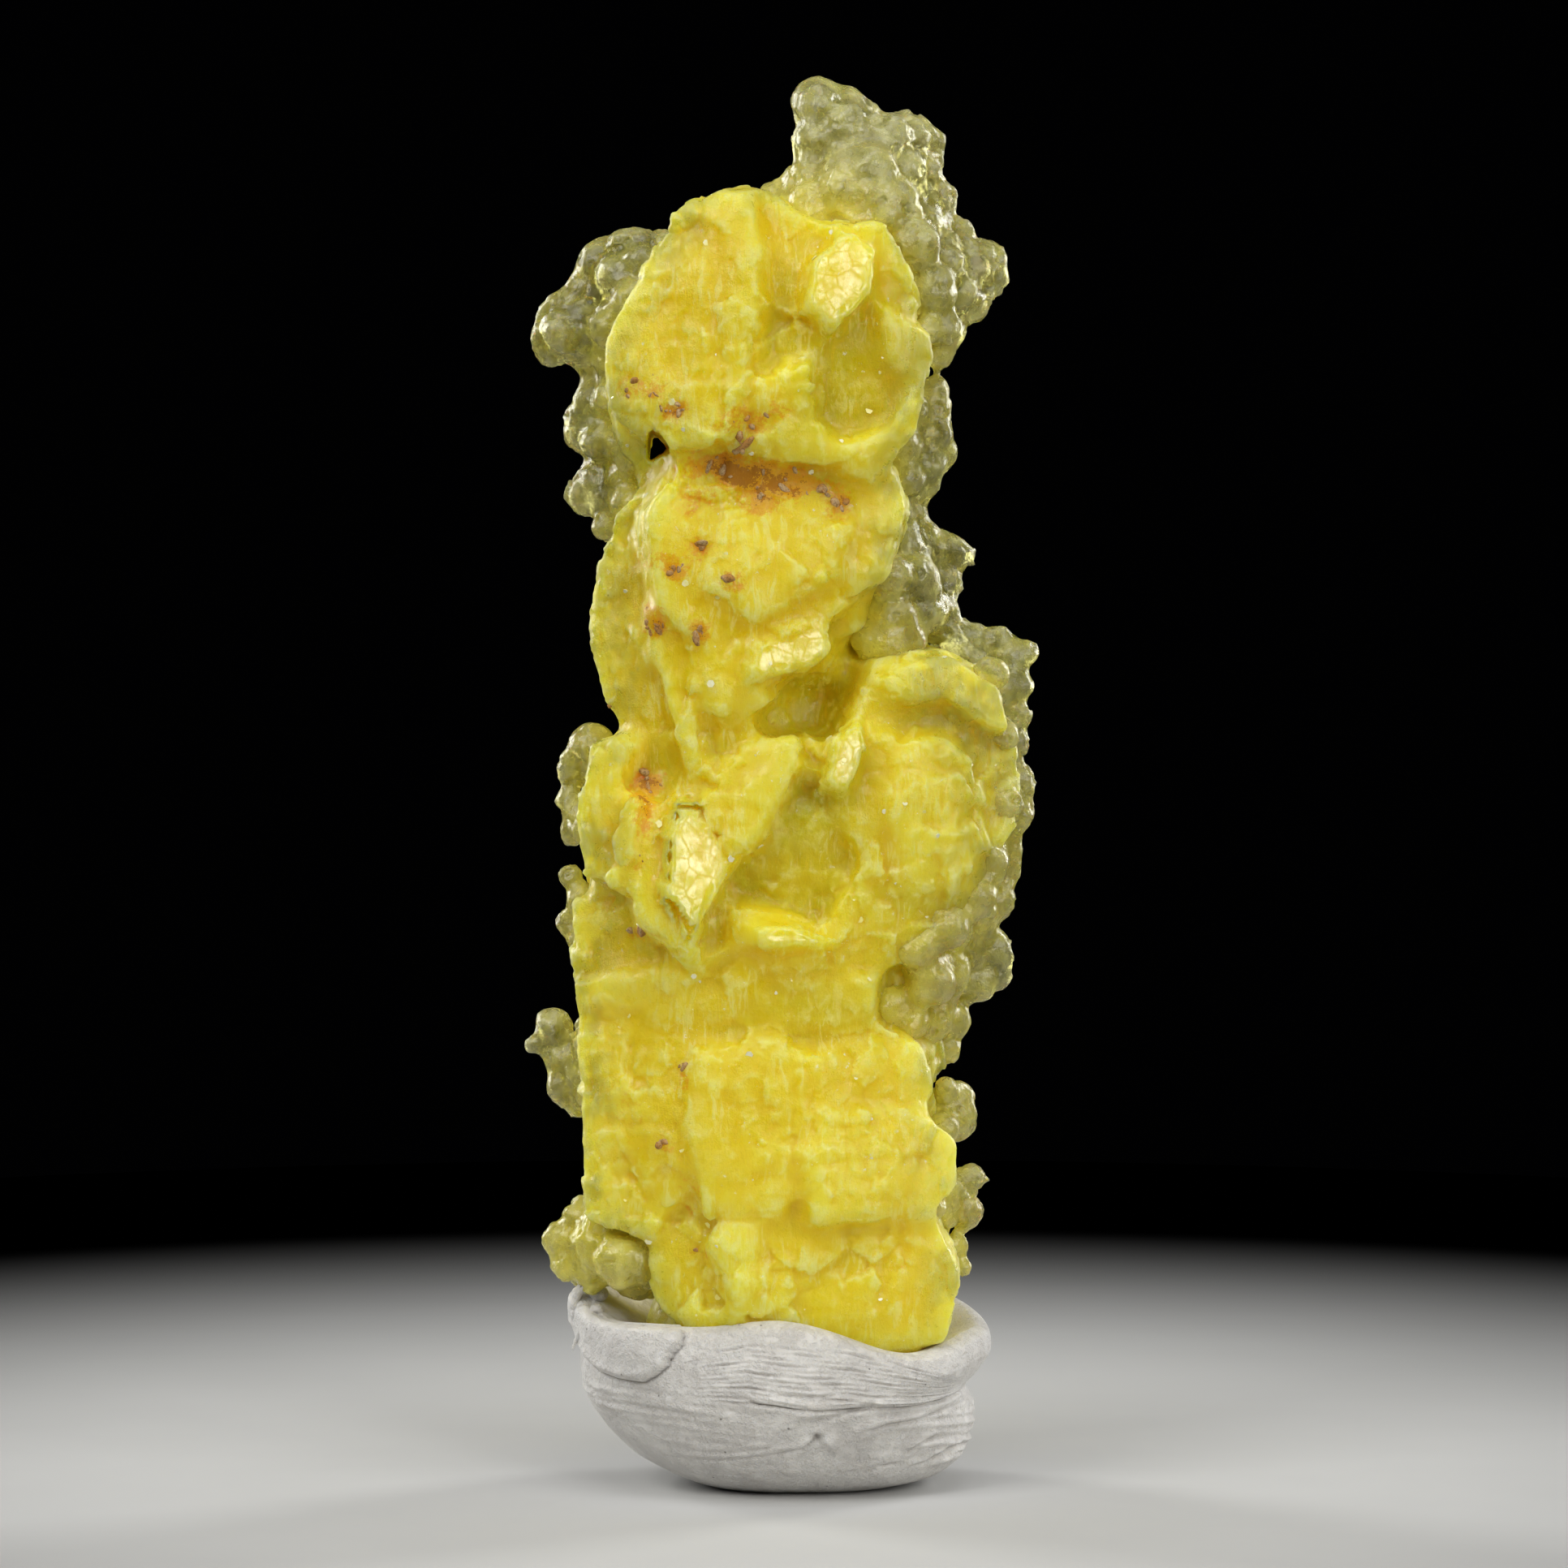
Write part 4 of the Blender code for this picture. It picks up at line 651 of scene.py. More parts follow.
def slopes(tilt):
    """How much a tilted face goes back for each step to the side and upwards."""
    return [math.tan(math.radians(angle)) for angle in tilt]


def front_corners(outline, forward, tilt):
    """The corners of a front crystal's face, and the way into the rock behind it."""
    sideways, upwards = slopes(tilt)
    middle_x, middle_z = middle_of(outline)
    corners = []
    for x, z in outline:
        y = forward + sideways * (x - middle_x) + upwards * (z - middle_z)
        corners.append(Vector((x, y, z)))
    return corners, Vector((-sideways, 1.0, -upwards)).normalized()


def hexagon(half_width, half_height, seed):
    """A six-sided outline with slightly uneven corners."""
    rng = random.Random(seed)
    points = []
    for corner in range(6):
        angle = math.radians(60.0 * corner) + rng.uniform(-0.14, 0.14)
        reach = rng.uniform(0.9, 1.08)
        points.append((half_width * reach * math.cos(angle), half_height * reach * math.sin(angle)))
    return points


def side_corners(centre, facing, turn, outline):
    """The corners of a crystal that looks the given way, and the way into the rock behind it."""
    around = Matrix.Rotation(math.radians(facing[0] + 90.0), 3, "Z")
    upward = Matrix.Rotation(-math.radians(facing[1]), 3, "X")
    spin = Matrix.Rotation(math.radians(turn), 3, "Y")
    placing = around @ upward @ spin
    corners = [centre + placing @ Vector((x, 0.0, z)) for x, z in outline]
    return corners, placing @ Vector((0.0, 1.0, 0.0))


def girth_at(height):
    """The body's middle in X, half width and half depth at a height."""
    for lower, upper in zip(GIRTH, GIRTH[1:]):
        if height <= upper[0]:
            share = max(0.0, (height - lower[0]) / (upper[0] - lower[0]))
            return [a + (b - a) * share for a, b in zip(lower[1:], upper[1:])]
    return list(GIRTH[-1][1:])


def skin_point(direction, height, sink):
    """A point of the body's side, a little below its surface, and the way that the side faces."""
    middle, wide, deep = girth_at(height)
    angle = math.radians(direction)
    place = Vector((middle + (wide - sink) * math.cos(angle), (deep - sink) * math.sin(angle), height))
    outward = math.degrees(math.atan2(math.sin(angle) / deep, math.cos(angle) / wide))
    return place, outward


def grown_steps(outline, seed, shares):
    """Smaller outlines inside one outline, each pushed towards one side as a growth step is."""
    rng = random.Random(seed)
    middle_x, middle_z = middle_of(outline)
    wide = max(abs(x - middle_x) for x, _ in outline)
    tall = max(abs(z - middle_z) for _, z in outline)
    steps = []
    push_x, push_z = rng.uniform(-0.5, 0.5), rng.uniform(-0.5, 0.5)
    for share in shares:
        shift_x = middle_x + push_x * wide * (1.0 - share)
        shift_z = middle_z + push_z * tall * (1.0 - share)
        turned = [((x - middle_x) * share + shift_x, (z - middle_z) * share + shift_z) for x, z in outline]
        steps.append(turned)
    return steps


def add_front_crystals(mesh, step_rise):
    """The crystals of the best side, each with the growth steps that its face carries."""
    for index, (name, crystal) in enumerate(FRONT_CRYSTALS.items()):
        forward, tilt, thickness, outline = crystal
        corners, inward = front_corners(outline, forward, tilt)
        add_slab(mesh, corners, inward * thickness, FRONT_FLARE)
        shares = POLISHED_STEPS if name in POLISHED else FRONT_STEPS
        rise = step_rise
        for level, step in enumerate(grown_steps(outline, index + FRONT_STEP_SEED, shares)):
            corners, inward = front_corners(step, 0.0, tilt)
            centre = sum(corners, Vector()) / len(corners)
            whole = sum((Vector((x, 0.0, z)) for x, z in outline), Vector()) / len(outline)
            across, upward = slopes(tilt)
            slope = Vector((across, 0.0, upward))
            lift = forward + slope.dot(centre - whole) - rise * (level + 1)
            corners = [corner + Vector((0.0, lift, 0.0)) for corner in corners]
            add_slab(mesh, corners, inward * thickness * 0.6, FRONT_FLARE)


def side_crystals():
    """The tabular crystals of the sides and the back: place, facing, turn and outline of each."""
    rng = random.Random(SIDE_SEED)
    for index in range(SIDE_COUNT):
        height = SIDE_LOW + (SIDE_HIGH - SIDE_LOW) * (index + rng.random()) / SIDE_COUNT
        direction = SIDE_FROM + (SIDE_TO - SIDE_FROM) * ((index * GOLDEN_SHARE + 0.1 * rng.random()) % 1.0)
        size = SIDE_SIZES[0] + (SIDE_SIZES[1] - SIDE_SIZES[0]) * rng.random() ** 1.6
        size *= 1.0 - SIDE_TOP_LOSS * min(1.0, max(0.0, (height - SIDE_TAPER_FROM) / 5.0))
        place, outward = skin_point(direction, height, 0.4 + 0.25 * rng.random())
        facing = (outward + rng.uniform(-16.0, 16.0), rng.uniform(-18.0, 14.0))
        outline = hexagon(size, size * rng.uniform(0.9, 1.25), index)
        yield place, facing, rng.uniform(-40.0, 40.0), outline, size


def add_side_crystals(mesh, step_rise):
    """The crystals of the sides and the back, with their steps."""
    for index, (place, facing, turn, outline, size) in enumerate(side_crystals()):
        corners, inward = side_corners(place, facing, turn, outline)
        add_slab(mesh, corners, inward * SIDE_THICKNESS, SIDE_FLARE)
        steps = [(0.8, step_rise)]
        if size > STEPPED_FROM:
            raised = place - inward * STEP_RISE
            step = [(x * STEP_SIZE + size * 0.12, z * STEP_SIZE) for x, z in outline]
            corners, inward = side_corners(raised, facing, turn, step)
            add_slab(mesh, corners, inward * SIDE_THICKNESS, SIDE_FLARE)
            steps = [(0.86, step_rise), (0.4, STEP_RISE + step_rise)]
        for share, rise in steps:
            inner = grown_steps(outline, index + SIDE_STEP_SEED, (share,))[0]
            corners, inward = side_corners(place - inward * rise, facing, turn, inner)
            add_slab(mesh, corners, inward * SIDE_THICKNESS * 0.7, SIDE_FLARE)


def add_foot(mesh):
    """The tapered stub that stands in the tack."""
    height = FOOT_TOP - FOOT_BOTTOM
    x, y = FOOT["centre"]
    made = bmesh.ops.create_cone(
        mesh, cap_ends=True, segments=FOOT["sides"], radius1=1.0, radius2=1.0, depth=height * MM,
        matrix=Matrix.Translation((0.0, 0.0, (FOOT_BOTTOM + height / 2.0) * MM)),
    )
    for corner in made["verts"]:
        wide, deep = FOOT["top"] if corner.co.z > (FOOT_BOTTOM + height / 2.0) * MM else FOOT["bottom"]
        corner.co.x = (x + corner.co.x * wide) * MM
        corner.co.y = (y + corner.co.y * deep) * MM


def edge_lobes():
    """The lobes round the edges of the best side, each with others before and behind it."""
    rng = random.Random(LOBE_SEED)
    for bunch in LOBES.values():
        for x, y, z, radius in bunch:
            yield Vector((x, y, z)), radius + LOBE_GROWTH
            if radius < TWINNED_FROM or y < TWINNED_BEHIND:
                continue
            middle = girth_at(z)[0]
            for way in (-1.0, 1.0):
                inner_x = x + (middle - x) * rng.uniform(0.04, 0.16)
                inner_z = z + rng.uniform(-0.9, 0.5)
                inner_y = y + way * radius * rng.uniform(0.8, 1.3)
                yield Vector((inner_x, inner_y, inner_z)), radius * rng.uniform(0.72, 0.92)


def back_lobes():
    """The bunches of lobes over the sides and the back."""
    rng = random.Random(BUNCH_SEED)
    for index in range(BUNCHES):
        direction = BUNCH_FROM + (BUNCH_TO - BUNCH_FROM) * ((index * GOLDEN_SHARE + 0.3) % 1.0)
        height = BUNCH_LOW + (BUNCH_HIGH - BUNCH_LOW) * (index + rng.random()) / BUNCHES
        for _ in range(BUNCH_LOBES):
            radius = rng.uniform(*BUNCH_RADII)
            around = direction + rng.uniform(-BUNCH_TURN, BUNCH_TURN)
            level = height + rng.uniform(-BUNCH_REACH, BUNCH_REACH)
            place, _ = skin_point(around, level, radius * 0.45)
            yield place, radius


def node(tree, kind, values=None, **settings):
    """Adds a node, sets its options, and links or sets the inputs that are given."""
    made = tree.nodes.new(kind)
    for key, value in settings.items():
        setattr(made, key, value)
    for key, value in (values or {}).items():
        if isinstance(value, bpy.types.NodeSocket):
            tree.links.new(value, made.inputs[key])
        else:
            made.inputs[key].default_value = value
    return made


def maths(tree, operation, first, second=0.0, third=0.0):
    """One step of arithmetic in a node tree."""
    kind = "ShaderNodeMath"
    return node(tree, kind, {0: first, 1: second, 2: third}, operation=operation).outputs[0]


def plus(tree, first, second):
    """The sum of two values."""
    return maths(tree, "ADD", first, second)


def minus(tree, first, second):
    """One value less another."""
    return maths(tree, "SUBTRACT", first, second)


def times(tree, first, second):
    """The product of two values."""
    return maths(tree, "MULTIPLY", first, second)


def scaled_vector(tree, vector, amount):
    """A vector times a number in a node tree."""
    made = node(tree, "ShaderNodeVectorMath", {0: vector, "Scale": amount}, operation="SCALE")
    return made.outputs[0]


def mixed(tree, share, first, second):
    """Two colours mixed by a share in a node tree."""
    made = tree.nodes.new("ShaderNodeMix")
    made.data_type = "RGBA"
    for socket, value in ((made.inputs[0], share), (made.inputs[6], first), (made.inputs[7], second)):
        if isinstance(value, bpy.types.NodeSocket):
            tree.links.new(value, socket)
        elif socket.type == "RGBA":
            socket.default_value = (*value[:3], 1.0)
        else:
            socket.default_value = value
    return made.outputs[2]


def ranged(tree, value, low, high, to_low=0.0, to_high=1.0):
    """Maps a value smoothly from one range to another in a node tree."""
    made = node(tree, "ShaderNodeMapRange", {0: value, 1: low, 2: high, 3: to_low, 4: to_high})
    made.interpolation_type = "SMOOTHSTEP"
    return made.outputs[0]


def geometry_tree(name, inputs):
    """Starts a geometry node tree with named inputs, as (name, socket kind, default) each."""
    old = bpy.data.node_groups.get(name)
    if old is not None:
        bpy.data.node_groups.remove(old)
    tree = bpy.data.node_groups.new(name, "GeometryNodeTree")
    tree.interface.new_socket("Geometry", in_out="INPUT", socket_type="NodeSocketGeometry")
    tree.interface.new_socket("Geometry", in_out="OUTPUT", socket_type="NodeSocketGeometry")
    for label, kind, default in inputs:
        socket = tree.interface.new_socket(label, in_out="INPUT", socket_type=kind)
        if default is not None:
            socket.default_value = default
    start = tree.nodes.new("NodeGroupInput")
    end = tree.nodes.new("NodeGroupOutput")
    return tree, start.outputs, end.inputs[0]


def run_tree(piece, tree, values):
    """Runs a geometry node tree on a piece with these inputs, and keeps the result as its mesh."""
    modifier = piece.modifiers.new(tree.name, "NODES")
    modifier.node_group = tree
    for item in tree.interface.items_tree:
        if item.in_out == "INPUT" and item.name in values:
            modifier[item.identifier] = values[item.name]
    return evaluated(piece)


def cell_tilt(tree, place, size):
    """A surface cut into flat cells of the given size that each lean their own way."""
    scale = maths(tree, "DIVIDE", 1.0, size)
    cells = node(tree, "ShaderNodeTexVoronoi", {"Vector": place, "Scale": scale, "Randomness": 0.95})
    kind = "ShaderNodeVectorMath"
    centred = node(tree, kind, {0: place, 1: cells.outputs["Position"]}, operation="SUBTRACT")
    lean = node(tree, kind, {0: cells.outputs["Color"], 1: (0.5, 0.5, 0.5)}, operation="SUBTRACT")
    tilt = node(tree, kind, {0: centred.outputs[0], 1: lean.outputs[0]}, operation="DOT_PRODUCT")
    return maths(tree, "DIVIDE", tilt.outputs["Value"], size)


def relief_tree():
    """Geometry nodes that work a waxy, uneven relief into a surface along its normals."""
    inputs = [
        ("Facet Size", "NodeSocketFloat", 0.0026), ("Facet Height", "NodeSocketFloat", 0.0003),
        ("Swell Size", "NodeSocketFloat", 0.0042), ("Swell Height", "NodeSocketFloat", 0.0003),
        ("Grain Size", "NodeSocketFloat", 0.0011), ("Grain Height", "NodeSocketFloat", 0.0001),
    ]
    tree, start, end = geometry_tree("surface relief", inputs)
    place = tree.nodes.new("GeometryNodeInputPosition").outputs[0]
    facing = tree.nodes.new("GeometryNodeInputNormal").outputs[0]
    polish = node(tree, "GeometryNodeInputNamedAttribute", {"Name": "polish"}).outputs["Attribute"]

    def noise(size, detail):
        scale = maths(tree, "DIVIDE", 1.0, size)
        values = {"Vector": place, "Scale": scale, "Detail": detail, "Roughness": 0.55}
        made = node(tree, "ShaderNodeTexNoise", values, noise_dimensions="3D")
        return minus(tree, made.outputs[0], 0.5)

    swell = times(tree, noise(start["Swell Size"], 2.0), start["Swell Height"])
    grain = times(tree, noise(start["Grain Size"], 4.0), start["Grain Height"])

    half = times(tree, start["Facet Size"], 0.42)
    facet = plus(tree, cell_tilt(tree, place, start["Facet Size"]),
                 times(tree, cell_tilt(tree, place, half), 0.55))
    facet = times(tree, facet, start["Facet Height"])
    patch = node(tree, "ShaderNodeTexNoise", {"Vector": place, "Scale": 150.0, "Detail": 2.0})
    rough = ranged(tree, patch.outputs[0], 0.40, 0.62, 0.3, 1.0)
    fine = times(tree, plus(tree, grain, facet), rough)
    height = plus(tree, swell, fine)
    height = times(tree, height, minus(tree, 1.0, polish))
    offset = scaled_vector(tree, facing, height)
    moved = node(tree, "GeometryNodeSetPosition", {"Geometry": start["Geometry"], "Offset": offset})
    tree.links.new(moved.outputs[0], end)
    return tree


def knob_tree():
    """Geometry nodes that stud lobes with half-sunk knobs of a few sizes."""
    inputs = [
        ("Knob Radius", "NodeSocketFloat", 0.0008), ("Knob Spacing", "NodeSocketFloat", 0.001),
        ("Sink", "NodeSocketFloat", 0.6), ("Seed", "NodeSocketInt", 1),
    ]
    tree, start, end = geometry_tree("lobe knobs", inputs)
    spread = node(
        tree, "GeometryNodeDistributePointsOnFaces",
        {"Mesh": start["Geometry"], "Distance Min": start["Knob Spacing"], "Density Max": 1.2e6,
         "Seed": start["Seed"]},
        distribute_method="POISSON",
    )
    size = node(tree, "FunctionNodeRandomValue", {2: 0.55, 3: 1.15, "Seed": start["Seed"]}).outputs[1]
    radius = times(tree, size, start["Knob Radius"])
    down = times(tree, times(tree, radius, start["Sink"]), -1.0)
    offset = scaled_vector(tree, spread.outputs["Normal"], down)
    sunk = node(tree, "GeometryNodeSetPosition", {"Geometry": spread.outputs["Points"], "Offset": offset})
    ball = node(tree, "GeometryNodeMeshIcoSphere", {"Radius": 1.0, "Subdivisions": 2})
    placed = node(
        tree, "GeometryNodeInstanceOnPoints",
        {"Points": sunk.outputs[0], "Instance": ball.outputs[0], "Scale": radius},
    )
    solid = node(tree, "GeometryNodeRealizeInstances", {0: placed.outputs[0]})
    both = tree.nodes.new("GeometryNodeJoinGeometry")
    tree.links.new(solid.outputs[0], both.inputs[0])
    tree.links.new(start["Geometry"], both.inputs[0])
    tree.links.new(both.outputs[0], end)
    return tree


def flake_tree():
    """Geometry nodes that scatter thin six-sided flakes over a surface, nearly flat on it."""
    inputs = [
        ("Density", "NodeSocketFloat", 1.0e5), ("Flake Radius", "NodeSocketFloat", 0.0003),
        ("Tilt", "NodeSocketFloat", 0.4), ("Seed", "NodeSocketInt", 1),
        ("Material", "NodeSocketMaterial", None),
    ]
    tree, start, end = geometry_tree("cleavage flakes", inputs)
    spread = node(
        tree, "GeometryNodeDistributePointsOnFaces",
        {"Mesh": start["Geometry"], "Density": start["Density"], "Seed": start["Seed"]},
        distribute_method="RANDOM",
    )
    plate = node(tree, "GeometryNodeMeshCylinder", {"Vertices": 6, "Radius": 1.0, "Depth": 0.28})
    size = node(tree, "FunctionNodeRandomValue", {2: 0.3, 3: 1.0, "Seed": start["Seed"]}).outputs[1]
    radius = times(tree, maths(tree, "POWER", size, 2.0), start["Flake Radius"])
    lean = times(tree, start["Tilt"], -1.0)
    low = node(tree, "ShaderNodeCombineXYZ", {0: lean, 1: lean, 2: -3.1}).outputs[0]
    high = node(tree, "ShaderNodeCombineXYZ", {0: start["Tilt"], 1: start["Tilt"], 2: 3.1}).outputs[0]
    swing = node(tree, "FunctionNodeRandomValue", {0: low, 1: high}, data_type="FLOAT_VECTOR").outputs[0]
    turned = node(
        tree, "FunctionNodeRotateRotation", {"Rotation": spread.outputs["Rotation"], "Rotate By": swing},
        rotation_space="LOCAL",
    )
    placed = node(
        tree, "GeometryNodeInstanceOnPoints",
        {"Points": spread.outputs["Points"], "Instance": plate.outputs[0],
         "Rotation": turned.outputs[0], "Scale": radius},
    )
    solid = node(tree, "GeometryNodeRealizeInstances", {0: placed.outputs[0]})
    painted = node(
        tree, "GeometryNodeSetMaterial", {"Geometry": solid.outputs[0], "Material": start["Material"]}
    )
    tree.links.new(painted.outputs[0], end)
    return tree


def grain_tree():
    """Geometry nodes that put a lumpy grain of random size and turn on each point."""
    inputs = [
        ("Grain Radius", "NodeSocketFloat", 0.0003), ("Seed", "NodeSocketInt", 1),
        ("Material", "NodeSocketMaterial", None),
    ]
    tree, start, end = geometry_tree("iron grains", inputs)
    ball = node(tree, "GeometryNodeMeshIcoSphere", {"Radius": 1.0, "Subdivisions": 2})
    size = node(
        tree, "FunctionNodeRandomValue", {0: (0.5, 0.25, 0.25), 1: (1.6, 0.8, 0.7), "Seed": start["Seed"]},
        data_type="FLOAT_VECTOR",
    )
    bulk = node(tree, "FunctionNodeRandomValue", {2: 0.3, 3: 1.0, "Seed": start["Seed"]}).outputs[1]
    bulk = times(tree, maths(tree, "POWER", bulk, 2.5), times(tree, start["Grain Radius"], 3.0))
    shape = scaled_vector(tree, size.outputs[0], bulk)
    turn = node(
        tree, "FunctionNodeRandomValue", {0: (0.0, 0.0, 0.0), 1: (FULL_TURN,) * 3},
        data_type="FLOAT_VECTOR",
    )
    placed = node(
        tree, "GeometryNodeInstanceOnPoints",
        {"Points": start["Geometry"], "Instance": ball.outputs[0], "Rotation": turn.outputs[0],
         "Scale": shape},
    )
    solid = node(tree, "GeometryNodeRealizeInstances", {0: placed.outputs[0]})
    place = tree.nodes.new("GeometryNodeInputPosition").outputs[0]
    lumps = node(tree, "ShaderNodeTexNoise", {"Vector": place, "Scale": 6000.0, "Detail": 1.0})
    push = times(tree, minus(tree, lumps.outputs[0], 0.5), start["Grain Radius"])
    facing = tree.nodes.new("GeometryNodeInputNormal").outputs[0]
    rough = node(
        tree, "GeometryNodeSetPosition",
        {"Geometry": solid.outputs[0], "Offset": scaled_vector(tree, facing, push)},
    )
    painted = node(
        tree, "GeometryNodeSetMaterial", {"Geometry": rough.outputs[0], "Material": start["Material"]}
    )
    tree.links.new(painted.outputs[0], end)
    return tree


def ball_tree():
    """Geometry nodes that make the even ball of which the tack is pressed."""
    inputs = [("Around", "NodeSocketInt", 64), ("Upwards", "NodeSocketInt", 32)]
    tree, start, end = geometry_tree("putty ball", inputs)
    ball = node(tree, "GeometryNodeMeshUVSphere", {"Segments": start["Around"], "Rings": start["Upwards"]})
    ball.inputs["Radius"].default_value = 1.0
    tree.links.new(ball.outputs[0], end)
    return tree


def marks_of(kind, front_marks):
    """Centres, reaches and strengths of one kind of mark, on the best side and on the others."""
    marks = [((x, -8.0, z), (wide, MARK_REACH, tall), much) for x, z, wide, tall, much in front_marks]
    count, (least, most), strength = BACK_MARKS[kind]
    rng = random.Random(kind)
    for index in range(count):
        height = 12.0 + 64.0 * (index + rng.random()) / count
        place, _ = skin_point(rng.uniform(-20.0, 200.0), height, 0.4)
        size = rng.uniform(least, most)
        reach = (size * rng.uniform(0.6, 1.2), size, size * rng.uniform(0.7, 1.4))
        marks.append((tuple(place), reach, strength * rng.uniform(0.5, 1.1)))
    return marks


def mark_strength(places, marks):
    """How strong a kind of mark is at each place, in millimetres."""
    total = np.zeros(len(places))
    for centre, reach, strength in marks:
        apart = (places - np.array(centre)) / np.array(reach)
        total += strength * np.exp(-np.sum(apart * apart, axis=1))
    return np.clip(total, 0.0, 1.6)


def inside_outline(x, z, outline, margin):
    """Which points lie inside an outline, by at least a margin."""
    inside = np.zeros(len(x), dtype=bool)
    nearest = np.full(len(x), 1e9)
    for (ax, az), (bx, bz) in zip(outline, outline[1:] + outline[:1]):
        crosses = ((az > z) != (bz > z)) & (x < (bx - ax) * (z - az) / ((bz - az) or 1e-9) + ax)
        inside ^= crosses
        length = (bx - ax) ** 2 + (bz - az) ** 2
        along = np.clip(((x - ax) * (bx - ax) + (z - az) * (bz - az)) / length, 0.0, 1.0)
        nearest = np.minimum(nearest, np.hypot(x - ax - along * (bx - ax), z - az - along * (bz - az)))
    return inside & (nearest > margin)


def polish_of(places, facing):
    """Where the surface belongs to one of the polished crystals."""
    polish = np.zeros(len(places))
    for name in POLISHED:
        forward, tilt, _, outline = FRONT_CRYSTALS[name]
        across, upward = slopes(tilt)
        plane = np.array([across, -1.0, upward])
        plane /= np.linalg.norm(plane)
        flat = facing @ plane > 0.95
        within = inside_outline(places[:, 0], places[:, 2], outline, 0.05)
        near = np.abs(places[:, 1] - forward) < 2.0
        polish[flat & within & near] = 0.9
    return polish


def flatten_polished(data):
    """Brings the polished faces back to their own planes, so that they mirror the light evenly."""
    places, facing = positions(data) / MM, normals(data)
    for name in POLISHED:
        forward, tilt, _, outline = FRONT_CRYSTALS[name]
        across, upward = slopes(tilt)
        middle_x, middle_z = middle_of(outline)
        x, y, z = places.T
        plane = forward + across * (x - middle_x) + upward * (z - middle_z)
        within = inside_outline(x, z, outline, 0.3) & (np.abs(y - plane) < 1.2) & (facing[:, 1] < -0.75)
        places[within, 1] = plane[within]
    move_vertices(data, places * MM)


def nearness(places):
    """How close places, in millimetres, are to the yellow body that the lobes grow on."""
    heights, middles, wides, deeps = np.array(GIRTH).T
    x, y, z = places.T
    across = (x - np.interp(z, heights, middles)) / np.interp(z, heights, wides)
    along = y / np.interp(z, heights, deeps)
    return eased(1.42, 0.92, np.hypot(across, along)) * eased(84.0, 77.0, z)


def outerness(places):
    """How close places, in millimetres, are to the thin left and right borders and to the top."""
    heights, middles, wides, _ = np.array(GIRTH).T
    x, _, z = places.T
    across = np.abs(x - np.interp(z, heights, middles)) / np.interp(z, heights, wides)
    return np.maximum(eased(0.72, 1.12, across), eased(77.0, 81.0, z))


def keep_shape_marks(data):
    """Keeps where a surface stands out or lies deep, finely and broadly."""
    places = positions(data)
    facing = normals(data)
    fine = np.sum((places - spread_out(data, places, FINE_ROUNDS)) * facing, axis=1)
    broad = np.sum((places - spread_out(data, places, BROAD_ROUNDS)) * facing, axis=1)
    store(data, "edge", eased(0.000015, 0.00010, fine))
    store(data, "cleft", eased(0.000015, 0.00012, -fine))
    store(data, "crest", np.clip(broad / 0.0009, -1.0, 1.0))


def shader_tree(name):
    """Starts a node material, and gives its tree and its shader."""
    material = bpy.data.materials.get(name) or bpy.data.materials.new(name)
    material.use_nodes = True
    tree = material.node_tree
    tree.nodes.clear()
    shader = tree.nodes.new("ShaderNodeBsdfPrincipled")
    output = tree.nodes.new("ShaderNodeOutputMaterial")
    tree.links.new(shader.outputs[0], output.inputs["Surface"])
    return material, tree, shader, output


def object_place(tree):
    """The place on the piece, in metres."""
    return tree.nodes.new("ShaderNodeTexCoord").outputs["Object"]


def noise(tree, place, size, detail=3.0, roughness=0.55, distortion=0.0):
    """Smooth noise with features of the given size in metres."""
    values = {"Vector": place, "Scale": 1.0 / size, "Detail": detail, "Roughness": roughness}
    values["Distortion"] = distortion
    return node(tree, "ShaderNodeTexNoise", values).outputs[0]


def mark(tree, name):
    """A number kept on the mesh under this name."""
    return node(tree, "ShaderNodeAttribute", attribute_name=name).outputs["Fac"]


def set_values(shader, values):
    """Sets the shader's own sockets to constants."""
    for name, value in values.items():
        shader.inputs[name].default_value = value


def add_bump(tree, shader, height, strength, depth):
    """Lets a height lean the shader's normal."""
    bump = node(tree, "ShaderNodeBump", {"Strength": strength, "Distance": depth, "Height": height})
    tree.links.new(bump.outputs[0], shader.inputs["Normal"])


